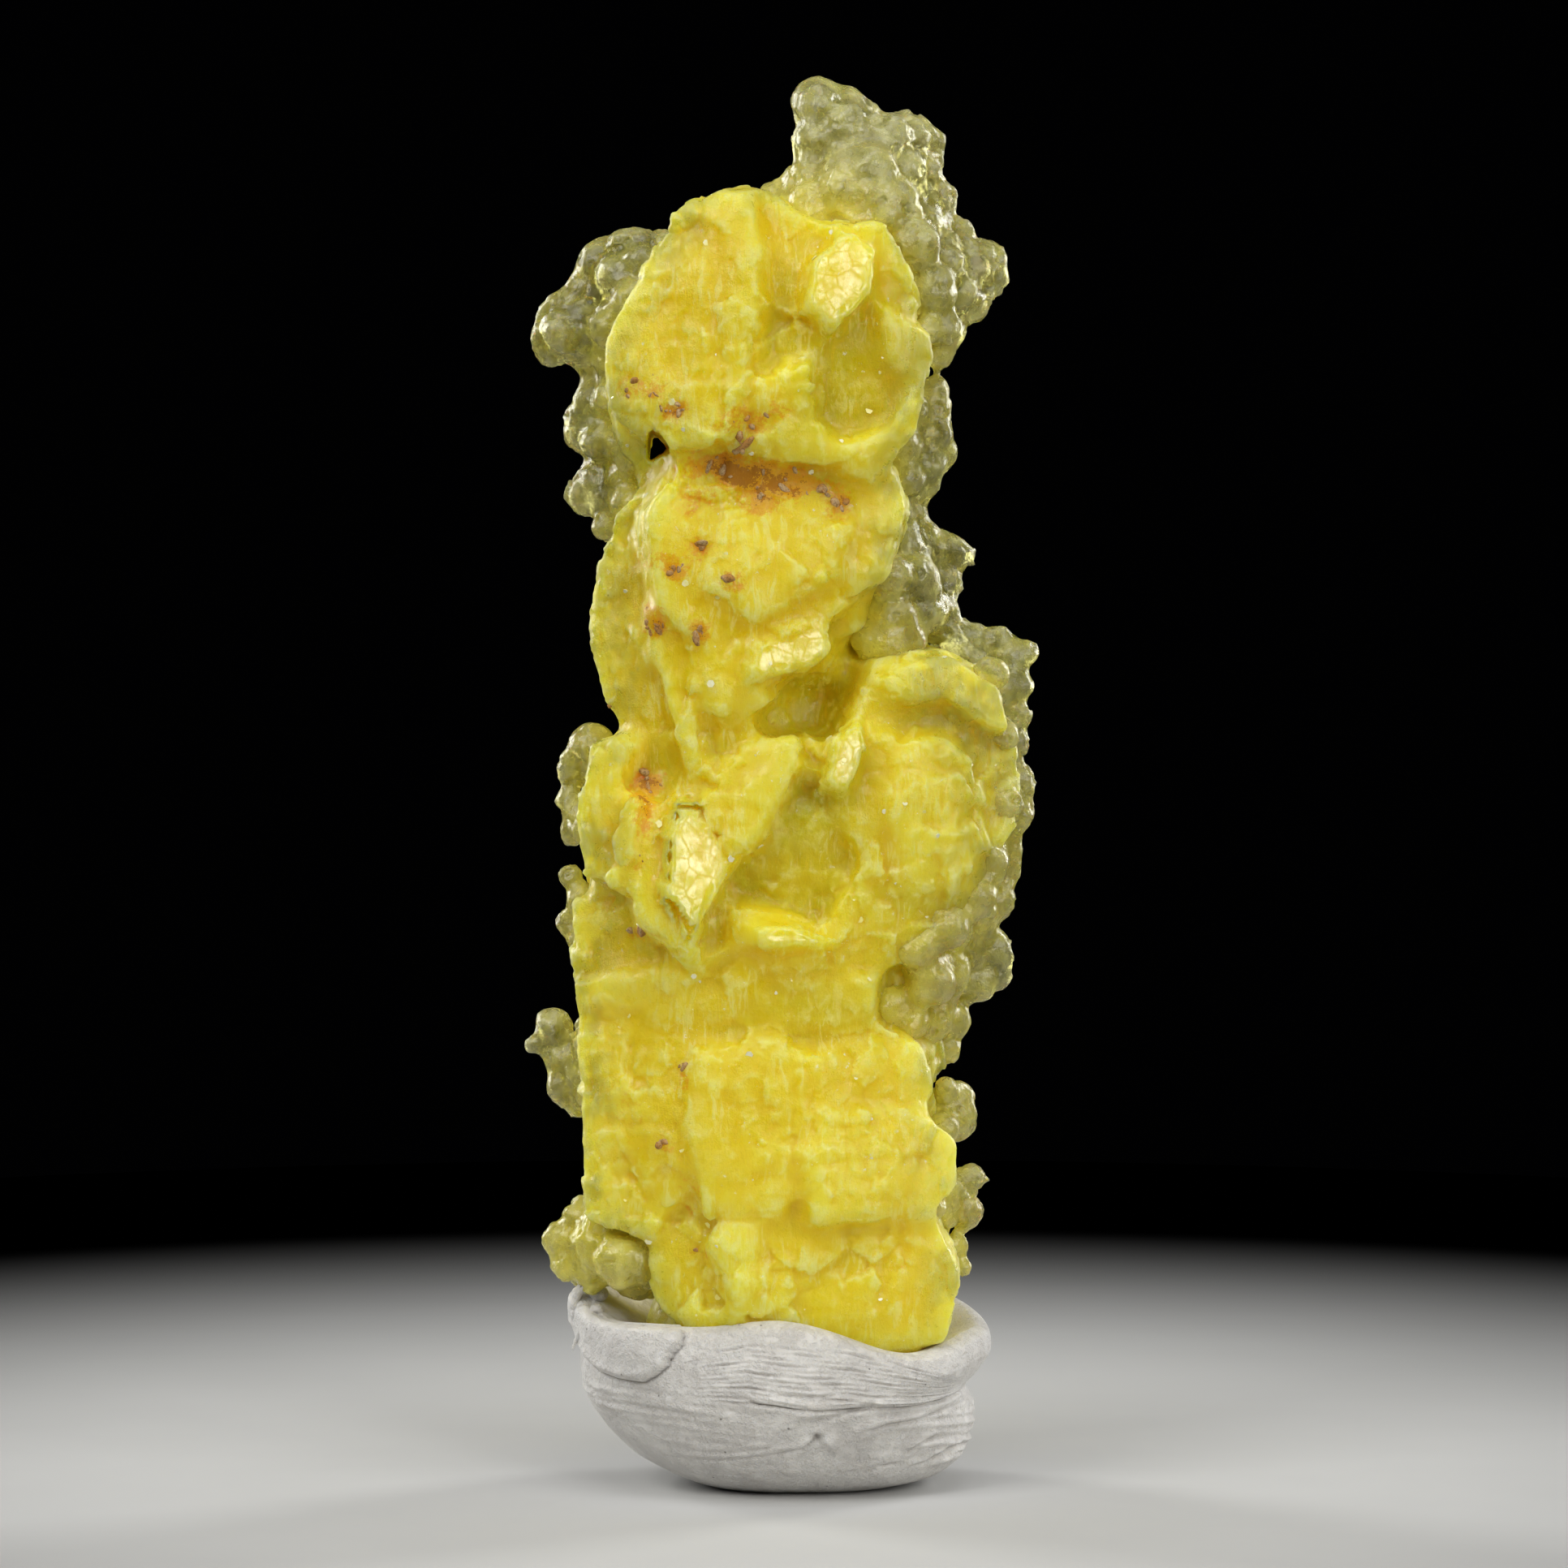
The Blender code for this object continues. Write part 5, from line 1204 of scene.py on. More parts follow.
def brucite_material(settings):
    """Translucent yellow in streaks and flecks, with green hollows and rust in the joints, painted light on
    its fine edges and broad ridges, and painted shade in its sunk places and clefts.
    """
    material, tree, shader, _ = shader_tree("brucite")
    place = object_place(tree)
    cloud = ranged(tree, noise(tree, place, 0.0065, 3.0, 0.65), 0.34, 0.68)
    colour = mixed(tree, cloud, settings.deep, settings.body)
    milky = ranged(tree, noise(tree, place, 0.0019, 4.0, 0.7), 0.47, 0.72)
    colour = mixed(tree, times(tree, milky, 0.45), colour, settings.pale)
    crest = mark(tree, "crest")
    # Painted shade: places that lie broadly sunk are darkened towards the hollow colour.
    sunk = times(tree, ranged(tree, crest, -0.1, -0.8), 0.5)
    colour = mixed(tree, sunk, colour, settings.hollow)
    # Painted light: broad ridges are paled towards the pale colour.
    raised = times(tree, ranged(tree, crest, 0.05, 0.7), 0.5)
    colour = mixed(tree, raised, colour, settings.pale)
    green = times(tree, mark(tree, "green"), ranged(tree, cloud, -0.6, 1.0))
    green = maths(tree, "MINIMUM", green, 0.85)
    colour = mixed(tree, green, colour, settings.hollow)
    colour = mixed(tree, maths(tree, "MINIMUM", mark(tree, "pale"), 0.85), colour, settings.pale)
    border = times(tree, mark(tree, "outer"), ranged(tree, milky, 0.0, 1.0, 0.35, 0.9))
    colour = mixed(tree, border, colour, settings.border)

    drawn = node(
        tree, "ShaderNodeMapping",
        {"Vector": place, "Rotation": (0.2, 0.55, 0.3), "Scale": (1900.0, 800.0, 420.0)},
    ).outputs[0]
    streak = node(
        tree, "ShaderNodeTexNoise",
        {"Vector": drawn, "Scale": 1.0, "Detail": 3.0, "Roughness": 0.7, "Distortion": 0.9},
    ).outputs[0]
    there = ranged(tree, noise(tree, place, 0.0035, 3.0), 0.42, 0.6)
    light_streak = times(tree, ranged(tree, streak, 0.51, 0.61), there)
    dark_streak = times(tree, ranged(tree, streak, 0.48, 0.38), there)
    colour = mixed(tree, times(tree, light_streak, 0.6), colour, settings.edge)
    colour = mixed(tree, times(tree, dark_streak, 0.6), colour, settings.deep)
    # Painted light: the fine edges are paled in patches towards the edge colour.
    edge_light_patches = ranged(tree, noise(tree, place, 0.0008, 3.0, 0.7), 0.38, 0.62, 0.1, 0.75)
    colour = mixed(tree, times(tree, mark(tree, "edge"), edge_light_patches), colour, settings.edge)
    # Painted shade: fine clefts are darkened towards the deep colour.
    cleft = times(tree, mark(tree, "cleft"), 0.4)
    colour = mixed(tree, cleft, colour, settings.deep)

    cracks = node(
        tree, "ShaderNodeTexVoronoi", {"Vector": place, "Scale": 760.0, "Randomness": 1.0},
        feature="DISTANCE_TO_EDGE",
    ).outputs["Distance"]
    cracked = times(tree, ranged(tree, cracks, 0.08, 0.0), mark(tree, "polish"))
    colour = mixed(tree, times(tree, cracked, 0.6), colour, settings.deep)

    fleck = ranged(tree, noise(tree, place, 0.00034, 4.0, 0.7), 0.63, 0.69)
    spare = ranged(tree, noise(tree, place, 0.003, 3.0), 0.5, 0.6, 0.12, 1.0)
    fleck = times(tree, fleck, spare)
    colour = mixed(tree, times(tree, fleck, 0.75), colour, settings.fleck)

    stain = mark(tree, "stain")
    ragged = minus(tree, noise(tree, place, 0.0013, 5.0, 0.82), 0.56)
    spread = plus(tree, times(tree, stain, 0.34), times(tree, ragged, 1.5))
    stained = ranged(tree, stain, 0.04, 0.3)
    halo = times(tree, ranged(tree, spread, -0.02, 0.2), stained)
    crust = times(tree, ranged(tree, spread, 0.27, 0.34), stained)
    colour = mixed(tree, times(tree, halo, 0.8), colour, settings.orange)
    colour = mixed(tree, times(tree, crust, 0.85), colour, settings.rust)
    tree.links.new(colour, shader.inputs["Base Color"])

    waxy = ranged(tree, noise(tree, place, 0.0009, 3.0, 0.7), 0.36, 0.66, 0.26, 0.6)
    waxy = minus(tree, waxy, times(tree, mark(tree, "polish"), 0.16))
    waxy = plus(tree, waxy, times(tree, crust, 0.35))
    tree.links.new(waxy, shader.inputs["Roughness"])
    solid = minus(tree, 1.0, maths(tree, "MAXIMUM", times(tree, crust, 0.9), times(tree, fleck, 0.5)))
    tree.links.new(solid, shader.inputs["Subsurface Weight"])
    thin = times(tree, mark(tree, "outer"), ranged(tree, noise(tree, place, 0.0024, 3.0), 0.4, 0.6))
    thin = times(tree, thin, 0.36)
    tree.links.new(thin, shader.inputs["Transmission Weight"])
    set_values(shader, {
        "Subsurface Radius": (1.0, 0.85, 0.16), "Subsurface Scale": settings.glow, "IOR": REFRACTION,
    })
    shine = ranged(tree, mark(tree, "polish"), 0.0, 0.9, 0.1, 0.9)
    pearly = ranged(tree, noise(tree, place, 0.0011, 3.0, 0.7), 0.42, 0.58, 0.12, 1.0)
    shine = times(tree, minus(tree, shine, cracked), pearly)
    tree.links.new(shine, shader.inputs["Coat Weight"])
    set_values(shader, {"Coat Roughness": 0.17, "Specular IOR Level": 0.3})

    fine = noise(tree, place, 0.0003, 3.0, 0.8)
    height = plus(tree, fine, times(tree, streak, 1.1))
    height = plus(tree, height, times(tree, cell_tilt(tree, place, 0.0006), 2.4))
    even = ranged(tree, noise(tree, place, 0.0042, 3.0), 0.4, 0.62, 0.35, 1.0)
    soft = ranged(tree, mark(tree, "polish"), 0.0, 0.9, 0.85, 0.45)
    soft = times(tree, soft, even)
    add_bump(tree, shader, height, soft, 0.00009)
    return material


def lobe_material(settings):
    """Frosted, see-through crystal of a pale green-yellow, milky where it is thin, with painted highlights
    on its rims, painted shade in its small dimples and a painted yellow glow next to the body.
    """
    material, tree, shader, output = shader_tree("clear_brucite")
    place = object_place(tree)
    cloud = ranged(tree, noise(tree, place, 0.0024, 3.0, 0.6), 0.36, 0.66)
    colour = mixed(tree, cloud, settings.clear, settings.milky)
    crest = mark(tree, "crest")
    # Painted highlight: the lobes' fine rims are paled towards the rim colour.
    colour = mixed(tree, times(tree, mark(tree, "edge"), 0.6), colour, settings.rim)
    dimple = node(
        tree, "ShaderNodeTexVoronoi", {"Vector": place, "Scale": 720.0, "Randomness": 1.0}, feature="F1"
    ).outputs["Distance"]
    dimple = times(tree, ranged(tree, dimple, 0.34, 0.14),
                   ranged(tree, noise(tree, place, 0.003, 2.0), 0.46, 0.56))
    # Painted shade: the small dimples are darkened towards the dimple colour.
    colour = mixed(tree, times(tree, dimple, 0.6), colour, settings.dimple)
    # Painted glow: the yellow body shining through is painted into the lobes next to it.
    near = times(tree, maths(tree, "MAXIMUM", mark(tree, "yellow"), mark(tree, "near")), 0.95)
    near = maths(tree, "MINIMUM", near, 1.0)
    colour = mixed(tree, near, colour, settings.yellow)
    milk = maths(tree, "MINIMUM", mark(tree, "milk"), 1.0)
    colour = mixed(tree, times(tree, milk, 0.4), colour, settings.rim)
    tree.links.new(colour, shader.inputs["Base Color"])
    open_share = ranged(tree, crest, -0.5, 0.6, 0.95, 0.78)
    patchy = ranged(tree, noise(tree, place, 0.0013, 2.0), 0.4, 0.66, 0.0, 0.2)
    open_share = minus(tree, open_share, patchy)
    open_share = minus(tree, open_share, times(tree, near, 0.4))
    open_share = minus(tree, open_share, times(tree, milk, 0.22))
    tree.links.new(open_share, shader.inputs["Transmission Weight"])
    frost = ranged(tree, noise(tree, place, 0.0009, 2.0, 0.6), 0.35, 0.7, 0.16, 0.36)
    tree.links.new(frost, shader.inputs["Roughness"])
    set_values(shader, {
        "IOR": REFRACTION, "Subsurface Weight": 0.6, "Subsurface Radius": (1.0, 0.95, 0.7),
        "Subsurface Scale": 0.001, "Coat Weight": 0.05, "Coat Roughness": 0.2,
    })
    height = plus(tree, noise(tree, place, 0.0005, 3.0, 0.75),
                  times(tree, cell_tilt(tree, place, 0.0008), 2.6))
    height = minus(tree, height, times(tree, dimple, 2.2))
    add_bump(tree, shader, height, 0.75, 0.0001)
    haze = node(tree, "ShaderNodeVolumeAbsorption", {"Density": settings.depth})
    haze.inputs["Color"].default_value = (*settings.haze, 1.0)
    tree.links.new(haze.outputs[0], output.inputs["Volume"])
    return material


def flake_material(settings):
    """Pearly flakes, from clear yellow to nearly white."""
    material, tree, shader, _ = shader_tree("pearly_flakes")
    place = object_place(tree)
    cloud = ranged(tree, noise(tree, place, 0.0012, 2.0), 0.4, 0.6)
    colour = mixed(tree, cloud, settings.edge, settings.fleck)
    tree.links.new(colour, shader.inputs["Base Color"])
    rough = ranged(tree, noise(tree, place, 0.0003, 2.0), 0.3, 0.7, 0.15, 0.4)
    tree.links.new(rough, shader.inputs["Roughness"])
    set_values(shader, {"IOR": REFRACTION, "Coat Weight": 0.4, "Coat Roughness": 0.15})
    return material


def grain_material(settings):
    """Tan to dark brown iron minerals with an earthy surface."""
    material, tree, shader, _ = shader_tree("iron_stain")
    place = object_place(tree)
    cloud = ranged(tree, noise(tree, place, 0.0009, 3.0), 0.38, 0.62)
    colour = mixed(tree, cloud, settings.rust, settings.tan)
    speck = ranged(tree, noise(tree, place, 0.00012, 3.0), 0.5, 0.62, 0.0, 0.6)
    colour = mixed(tree, speck, colour, settings.dark)
    tree.links.new(colour, shader.inputs["Base Color"])
    rough = ranged(tree, noise(tree, place, 0.0002, 2.0), 0.3, 0.7, 0.6, 0.9)
    tree.links.new(rough, shader.inputs["Roughness"])
    height = noise(tree, place, 0.0001, 3.0)
    add_bump(tree, shader, height, 0.6, 0.00003)
    return material


def tack_material(settings):
    """Warm white putty: matt, a little translucent, with fine skin lines, dark specks, painted shade in its
    creases and painted light on its ridges.
    """
    material, tree, shader, _ = shader_tree("white_tack")
    place = object_place(tree)
    cloud = ranged(tree, noise(tree, place, 0.003, 6.0, 0.65), 0.35, 0.62)
    colour = mixed(tree, cloud, settings.shade, settings.tone)
    # Painted shade: the creases are darkened.
    colour = mixed(tree, times(tree, mark(tree, "cleft"), 0.7), colour, settings.crease_shade)
    # Painted light: the fine ridges are paled.
    colour = mixed(tree, times(tree, mark(tree, "edge"), 0.35), colour, (0.93, 0.92, 0.9))
    specks = node(tree, "ShaderNodeTexVoronoi", {"Vector": place, "Scale": 620.0}, feature="F1").outputs[0]
    speck = times(tree, ranged(tree, specks, 0.06, 0.035), 0.75)
    colour = mixed(tree, speck, colour, settings.speck)
    tree.links.new(colour, shader.inputs["Base Color"])
    rough = ranged(tree, noise(tree, place, 0.0015, 4.0), 0.35, 0.7, 0.5, 0.72)
    tree.links.new(rough, shader.inputs["Roughness"])
    set_values(shader, {
        "Subsurface Weight": 0.35, "Subsurface Radius": (1.0, 0.9, 0.75),
        "Subsurface Scale": 0.0006, "IOR": 1.5,
    })
    fine = noise(tree, place, 0.00028, 5.0, 0.6)
    drawn = node(tree, "ShaderNodeMapping", {"Vector": place, "Scale": (120.0, 120.0, 2600.0)})
    lines = node(
        tree, "ShaderNodeTexNoise", {"Vector": drawn.outputs[0], "Scale": 1.0, "Detail": 3.0}
    ).outputs[0]
    lines = times(tree, lines, mark(tree, "drawn"))
    pitted = ranged(tree, noise(tree, place, 0.0009, 5.0, 0.7), 0.36, 0.6, 0.0, 1.5)
    height = plus(tree, plus(tree, fine, pitted), lines)
    add_bump(tree, shader, height, 0.8, 0.00009)
    return material


def floor_material(settings):
    """A plain pale floor with painted shade that darkens it towards its rim, so that it fades into the dark
    studio.
    """
    material, tree, shader, _ = shader_tree("floor")
    place = object_place(tree)
    reach = node(tree, "ShaderNodeVectorMath", {0: place}, operation="LENGTH").outputs["Value"]
    # Painted shade: the floor goes from pale to black towards its rim.
    fade = ranged(tree, reach, settings.floor_radius * 0.2, settings.floor_radius * 0.74)
    pale = mixed(tree, noise(tree, place, 0.02, 3.0), (0.55, 0.55, 0.54), (0.6, 0.6, 0.59))
    tree.links.new(mixed(tree, fade, pale, (0.0, 0.0, 0.0)), shader.inputs["Base Color"])
    set_values(shader, {"Roughness": 0.8, "Specular IOR Level": 0.0})
    return material


def bell(distance, spread):
    """A smooth bump that is 1 at no distance."""
    return np.exp(-((distance / spread) ** 2))


def degrees_apart(angle, degrees):
    """How far angles in radians are from a direction in degrees, in degrees."""
    return (np.degrees(angle) - degrees + 180.0) % 360.0 - 180.0


def smooth_rows(table, steps):
    """Values of a table between its rows, on a smooth curve through them."""
    lower = np.clip(steps.astype(int), 0, len(table) - 2)
    share = (steps - lower)[:, None]
    before = table[np.maximum(lower - 1, 0)]
    here, after = table[lower], table[lower + 1]
    beyond = table[np.minimum(lower + 2, len(table) - 1)]
    straight = here + (after - here) * share
    cubic = 0.5 * (
        2.0 * here + (after - before) * share
        + (2.0 * before - 5.0 * here + 4.0 * after - beyond) * share**2
        + (3.0 * here - before - 3.0 * after + beyond) * share**3
    )
    return 0.35 * straight + 0.65 * cubic


def tack_skin(angle, steps):
    """Points of the tack's skin, in millimetres: the angles round it and the steps along its rings."""
    table = np.array([(z, *radii, waves) for z, radii, waves in TACK_RINGS])
    rows = smooth_rows(table, steps)
    height, right, back, left, front, waves = rows.T
    across, along = np.cos(angle), np.sin(angle)
    radius = np.where(across > 0.0, right, left) * across**2 + np.where(along > 0.0, back, front) * along**2
    radius = np.maximum(radius, 0.0)
    height = np.maximum(height, 0.0)
    for at, wide, rise in RIM_WAVES:
        height = height + waves * rise * bell(degrees_apart(angle, at), wide)
    outside = (height > 0.0) & (steps < TACK_OUTSIDE)
    for at, level, wide, tall, push in TACK_BULGES:
        bulge = push * bell(degrees_apart(angle, at), wide) * bell(height - level, tall)
        radius = radius + np.where(outside, bulge, 0.0)
    return np.stack([TACK_CENTRE_X + radius * across, radius * along, height], axis=1)


def apart_from_line(x, z, line):
    """The distance of points from a line through (x, z) points, and which side they are on."""
    nearest = np.full(len(x), 1e9)
    side = np.zeros(len(x))
    for (ax, az), (bx, bz) in zip(line, line[1:]):
        length = (bx - ax) ** 2 + (bz - az) ** 2
        along = np.clip(((x - ax) * (bx - ax) + (z - az) * (bz - az)) / length, 0.0, 1.0)
        off_x, off_z = x - ax - along * (bx - ax), z - az - along * (bz - az)
        distance = np.hypot(off_x, off_z)
        closer = distance < nearest
        nearest = np.where(closer, distance, nearest)
        side = np.where(closer, np.sign((bx - ax) * off_z - (bz - az) * off_x), side)
    return nearest, side


def crease_push(x, z, depth, width, lip, line):
    """A crease: a groove along a line with a lip above it, fading out at both ends."""
    distance, side = apart_from_line(x, z, line)
    ends = np.minimum(np.hypot(x - line[0][0], z - line[0][1]), np.hypot(x - line[-1][0], z - line[-1][1]))
    fade = eased(0.0, 0.7, ends)
    groove = -depth * bell(distance, width)
    ridge = np.where(side > 0.0, lip, lip * 0.3) * bell(distance - 2.6 * width, 2.2 * width)
    return (groove + ridge) * fade


def flap_push(x, z):
    """The folded flap: its own thickness inside its outline, rolled at the edge, and a shadow line."""
    within = inside_outline(x, z, TACK_FLAP, 0.0)
    distance, _ = apart_from_line(x, z, TACK_FLAP[:11])
    rolled = FLAP_RISE * np.sqrt(np.clip(distance / 0.42, 0.0, 1.0)) + 0.1 * bell(distance - 0.45, 0.3)
    under = -0.16 * bell(distance, 0.16)
    return np.where(within, rolled, under)


def drawn_push(x, z, depth):
    """Fine lines drawn along the tack between two curves, and how strong they are."""
    top = np.interp(x, *zip(*DRAWN_TOP))
    low = np.interp(x, *zip(*DRAWN_LOW))
    share = (z - low) / (top - low)
    within = eased(-0.12, 0.04, share) * eased(1.02, 0.8, share)
    within = within * eased(-6.2, -3.4, x) * eased(12.0, 10.4, x)
    wander = 0.5 * np.sin(x * 0.9 + share * 5.0) + 0.3 * np.sin(x * 2.3 + share * 11.0)
    line = np.sin(2.0 * math.pi * DRAWN_LINES * share + wander)
    second = np.sin(2.0 * math.pi * DRAWN_LINES * 0.61 * share + 1.3 * wander + 1.0)
    uneven = 0.6 + 0.4 * np.sin(x * 1.7 + 23.0 * share)
    return depth * within * uneven * (line + 0.6 * second), within


def wrinkle_push(angle, height):
    """Soft wrinkles pressed round the lower part of the tack, other than its drawn lines."""
    turn = np.degrees(angle)
    slant = height * 2.1 + turn * 0.055
    first = np.sin(slant * 2.6 + 0.9 * np.sin(turn * 0.11) + 0.7 * np.sin(height * 1.9))
    second = np.sin(slant * 5.3 - turn * 0.19 + 1.7 * np.sin(turn * 0.07 + 1.0))
    where = eased(0.3, 1.4, height) * eased(7.6, 5.2, height)
    patch = 0.45 + 0.55 * np.sin(turn * 0.047 + 2.2) * np.sin(height * 0.7 + turn * 0.021)
    return where * np.clip(patch, 0.0, 1.0) * (0.05 * first + 0.035 * second)


def tack_detail(data, settings):
    """Works the flap, creases, bumps and lines into the tack's skin along its normals."""
    places, facing = positions(data) / MM, normals(data)
    x, y, z = places.T
    angle = np.arctan2(y, x - TACK_CENTRE_X)
    front = eased(0.0, 0.45, -facing[:, 1]) * eased(1.0, -1.0, y)
    outer = eased(-0.9, -0.2, facing[:, 2]) * eased(0.1, 0.8, z)
    push = np.zeros(len(x))
    for depth, width, lip, line in TACK_CREASES:
        push += crease_push(x, z, depth, width, lip, line)
        push += 0.8 * crease_push(-x + 1.5, z, depth, width, lip, line) * eased(-2.0, 4.0, y)
    for bx, bz, wide, tall, lean, rise in TACK_BUMPS:
        turned = math.radians(lean)
        along = (x - bx) * math.cos(turned) + (z - bz) * math.sin(turned)
        up = (z - bz) * math.cos(turned) - (x - bx) * math.sin(turned)
        push += rise * bell(along, wide) * bell(up, tall)
    lines, drawn = drawn_push(x, z, settings.line_depth / MM)
    push += lines
    left = eased(-4.0, -7.0, x) * eased(2.0, -0.5, y)
    push = push * front + flap_push(x, z) * left * eased(0.2, 0.9, np.hypot(facing[:, 0], facing[:, 1]))
    back = eased(0.2, 0.6, facing[:, 1])
    for depth, width, lip, line in TACK_CREASES[:6]:
        push += 0.9 * back * crease_push(-x, z, depth, width, lip, line)
    push += outer * wrinkle_push(angle, z) * settings.wrinkle_share
    places += facing * (push * outer)[:, None]
    places[:, 2] = np.maximum(places[:, 2], 0.0)
    move_vertices(data, places * MM)
    store(data, "drawn", drawn * front)


def add_bead(mesh, bead):
    """One soft bead of putty."""
    x, y, z, wide, deep, tall = bead
    shape = Matrix.Translation(Vector((x, y, z)) * MM) @ Matrix.Diagonal((wide, deep, tall, 1.0))
    bmesh.ops.create_icosphere(mesh, subdivisions=3, radius=MM, matrix=shape)


class CrystalSettings(bpy.types.PropertyGroup):
    """Sizes and colours of the yellow crystals."""

    fineness: FloatProperty(
        name="Fineness", description="Size of a face of the crystals' skin",
        default=0.0002, min=0.0001, unit="LENGTH",
    )
    step_rise: FloatProperty(
        name="Step rise", description="How far a growth step stands out of its face",
        default=0.00016, min=0.0, unit="LENGTH",
    )
    facet_size: FloatProperty(
        name="Facet size", description="Width of the small facets and plates on the faces",
        default=0.0027, min=0.0002, unit="LENGTH",
    )
    facet_height: FloatProperty(
        name="Facet height", description="How far the small facets stand out",
        default=0.00075, min=0.0, unit="LENGTH",
    )
    swell: FloatProperty(
        name="Swell", description="Height of the broad unevenness of the faces",
        default=0.0006, min=0.0, unit="LENGTH",
    )
    grain: FloatProperty(
        name="Grain", description="Height of the fine unevenness of the faces",
        default=0.00022, min=0.0, unit="LENGTH",
    )
    healed: FloatProperty(
        name="Healed", description="Half the width of the clefts that have grown shut",
        default=0.00045, min=0.0, unit="LENGTH",
    )
    soften: IntProperty(
        name="Soften", description="Rounds of softening of the crystals' edges", default=2, min=0
    )
    most_faces: IntProperty(
        name="Most faces", description="Triangles that one piece may have", default=196000, min=1000
    )
    glow: FloatProperty(
        name="Glow", description="How far light spreads under the surface",
        default=0.0038, min=0.0, unit="LENGTH",
    )
    body: FloatVectorProperty(
        name="Body", description="Colour of the massive brucite", subtype="COLOR",
        default=(0.91, 0.735, 0.022), min=0.0, max=1.0,
    )
    # Deep also carries the painted shade in the fine clefts.
    deep: FloatVectorProperty(
        name="Deep", description="Colour of the hollows and joints", subtype="COLOR",
        default=(0.85, 0.655, 0.008), min=0.0, max=1.0,
    )
    # Pale also carries the painted light on the broad ridges.
    pale: FloatVectorProperty(
        name="Pale", description="Colour of the milky faces", subtype="COLOR",
        default=(0.94, 0.81, 0.08), min=0.0, max=1.0,
    )
    # Edge also carries the painted light along the fine edges, besides the streaks and flakes.
    edge: FloatVectorProperty(
        name="Edge", description="Colour of the thin edges and chips", subtype="COLOR",
        default=(0.95, 0.87, 0.26), min=0.0, max=1.0,
    )
    # Hollow also carries the painted shade of broadly sunk places.
    hollow: FloatVectorProperty(
        name="Hollow", description="Colour of the clear green hollows", subtype="COLOR",
        default=(0.57, 0.53, 0.008), min=0.0, max=1.0,
    )
    border: FloatVectorProperty(
        name="Border", description="Colour of the thin borders that light gets through", subtype="COLOR",
        default=(0.84, 0.80, 0.13), min=0.0, max=1.0,
    )
    fleck: FloatVectorProperty(
        name="Fleck", description="Colour of the tiny white flecks", subtype="COLOR",
        default=(0.96, 0.94, 0.66), min=0.0, max=1.0,
    )
    orange: FloatVectorProperty(
        name="Orange", description="Colour of the thin iron stain", subtype="COLOR",
        default=(0.84, 0.42, 0.006), min=0.0, max=1.0,
    )
    rust: FloatVectorProperty(
        name="Rust", description="Colour of the thick iron stain", subtype="COLOR",
        default=(0.42, 0.15, 0.01), min=0.0, max=1.0,
    )


class LobeSettings(bpy.types.PropertyGroup):
    """Sizes and colours of the clear lobes."""

    fineness: FloatProperty(
        name="Fineness", description="Size of a face of the lobes' skin",
        default=0.0002, min=0.0001, unit="LENGTH",
    )
    knob_radius: FloatProperty(
        name="Knob radius", description="Largest radius of the knobs on a lobe",
        default=0.00095, min=0.0, unit="LENGTH",
    )
    knob_spacing: FloatProperty(
        name="Knob spacing", description="Least distance between two knobs",
        default=0.0019, min=0.0001, unit="LENGTH",
    )
    knob_sink: FloatProperty(
        name="Knob sink", description="Share of a knob's radius that its centre lies under the surface",
        default=0.68, min=0.0, max=1.0,
    )
    soften: IntProperty(
        name="Soften", description="Rounds of softening of the lobes", default=8, min=0
    )
    facet_size: FloatProperty(
        name="Facet size", description="Width of the flat facets on the lobes",
        default=0.0017, min=0.0002, unit="LENGTH",
    )
    facet_height: FloatProperty(
        name="Facet height", description="How far those facets stand out",
        default=0.0005, min=0.0, unit="LENGTH",
    )
    depth: FloatProperty(
        name="Depth of colour", description="How fast the crystal takes up light, per metre",
        default=45.0, min=0.0,
    )
    haze: FloatVectorProperty(
        name="Haze", description="Colour of the light that gets through", subtype="COLOR",
        default=(0.84, 0.80, 0.34), min=0.0, max=1.0,
    )
    clear: FloatVectorProperty(
        name="Clear", description="Colour of the clear parts", subtype="COLOR",
        default=(0.84, 0.82, 0.26), min=0.0, max=1.0,
    )
    milky: FloatVectorProperty(
        name="Milky", description="Colour of the milky parts", subtype="COLOR",
        default=(0.88, 0.84, 0.34), min=0.0, max=1.0,
    )
    # Yellow is the painted glow of the body shining through the lobes.
    yellow: FloatVectorProperty(
        name="Yellow", description="Colour next to the yellow body", subtype="COLOR",
        default=(0.90, 0.80, 0.08), min=0.0, max=1.0,
    )
    # The dimple colour is painted shade in the small pits.
    dimple: FloatVectorProperty(
        name="Dimple", description="Colour in the small dimples", subtype="COLOR",
        default=(0.40, 0.42, 0.13), min=0.0, max=1.0,
    )
    # Rim is the painted highlight of the rims, and also the colour of the milky lobes.
    rim: FloatVectorProperty(
        name="Rim", description="Colour of the thin rims", subtype="COLOR",
        default=(0.94, 0.91, 0.58), min=0.0, max=1.0,
    )


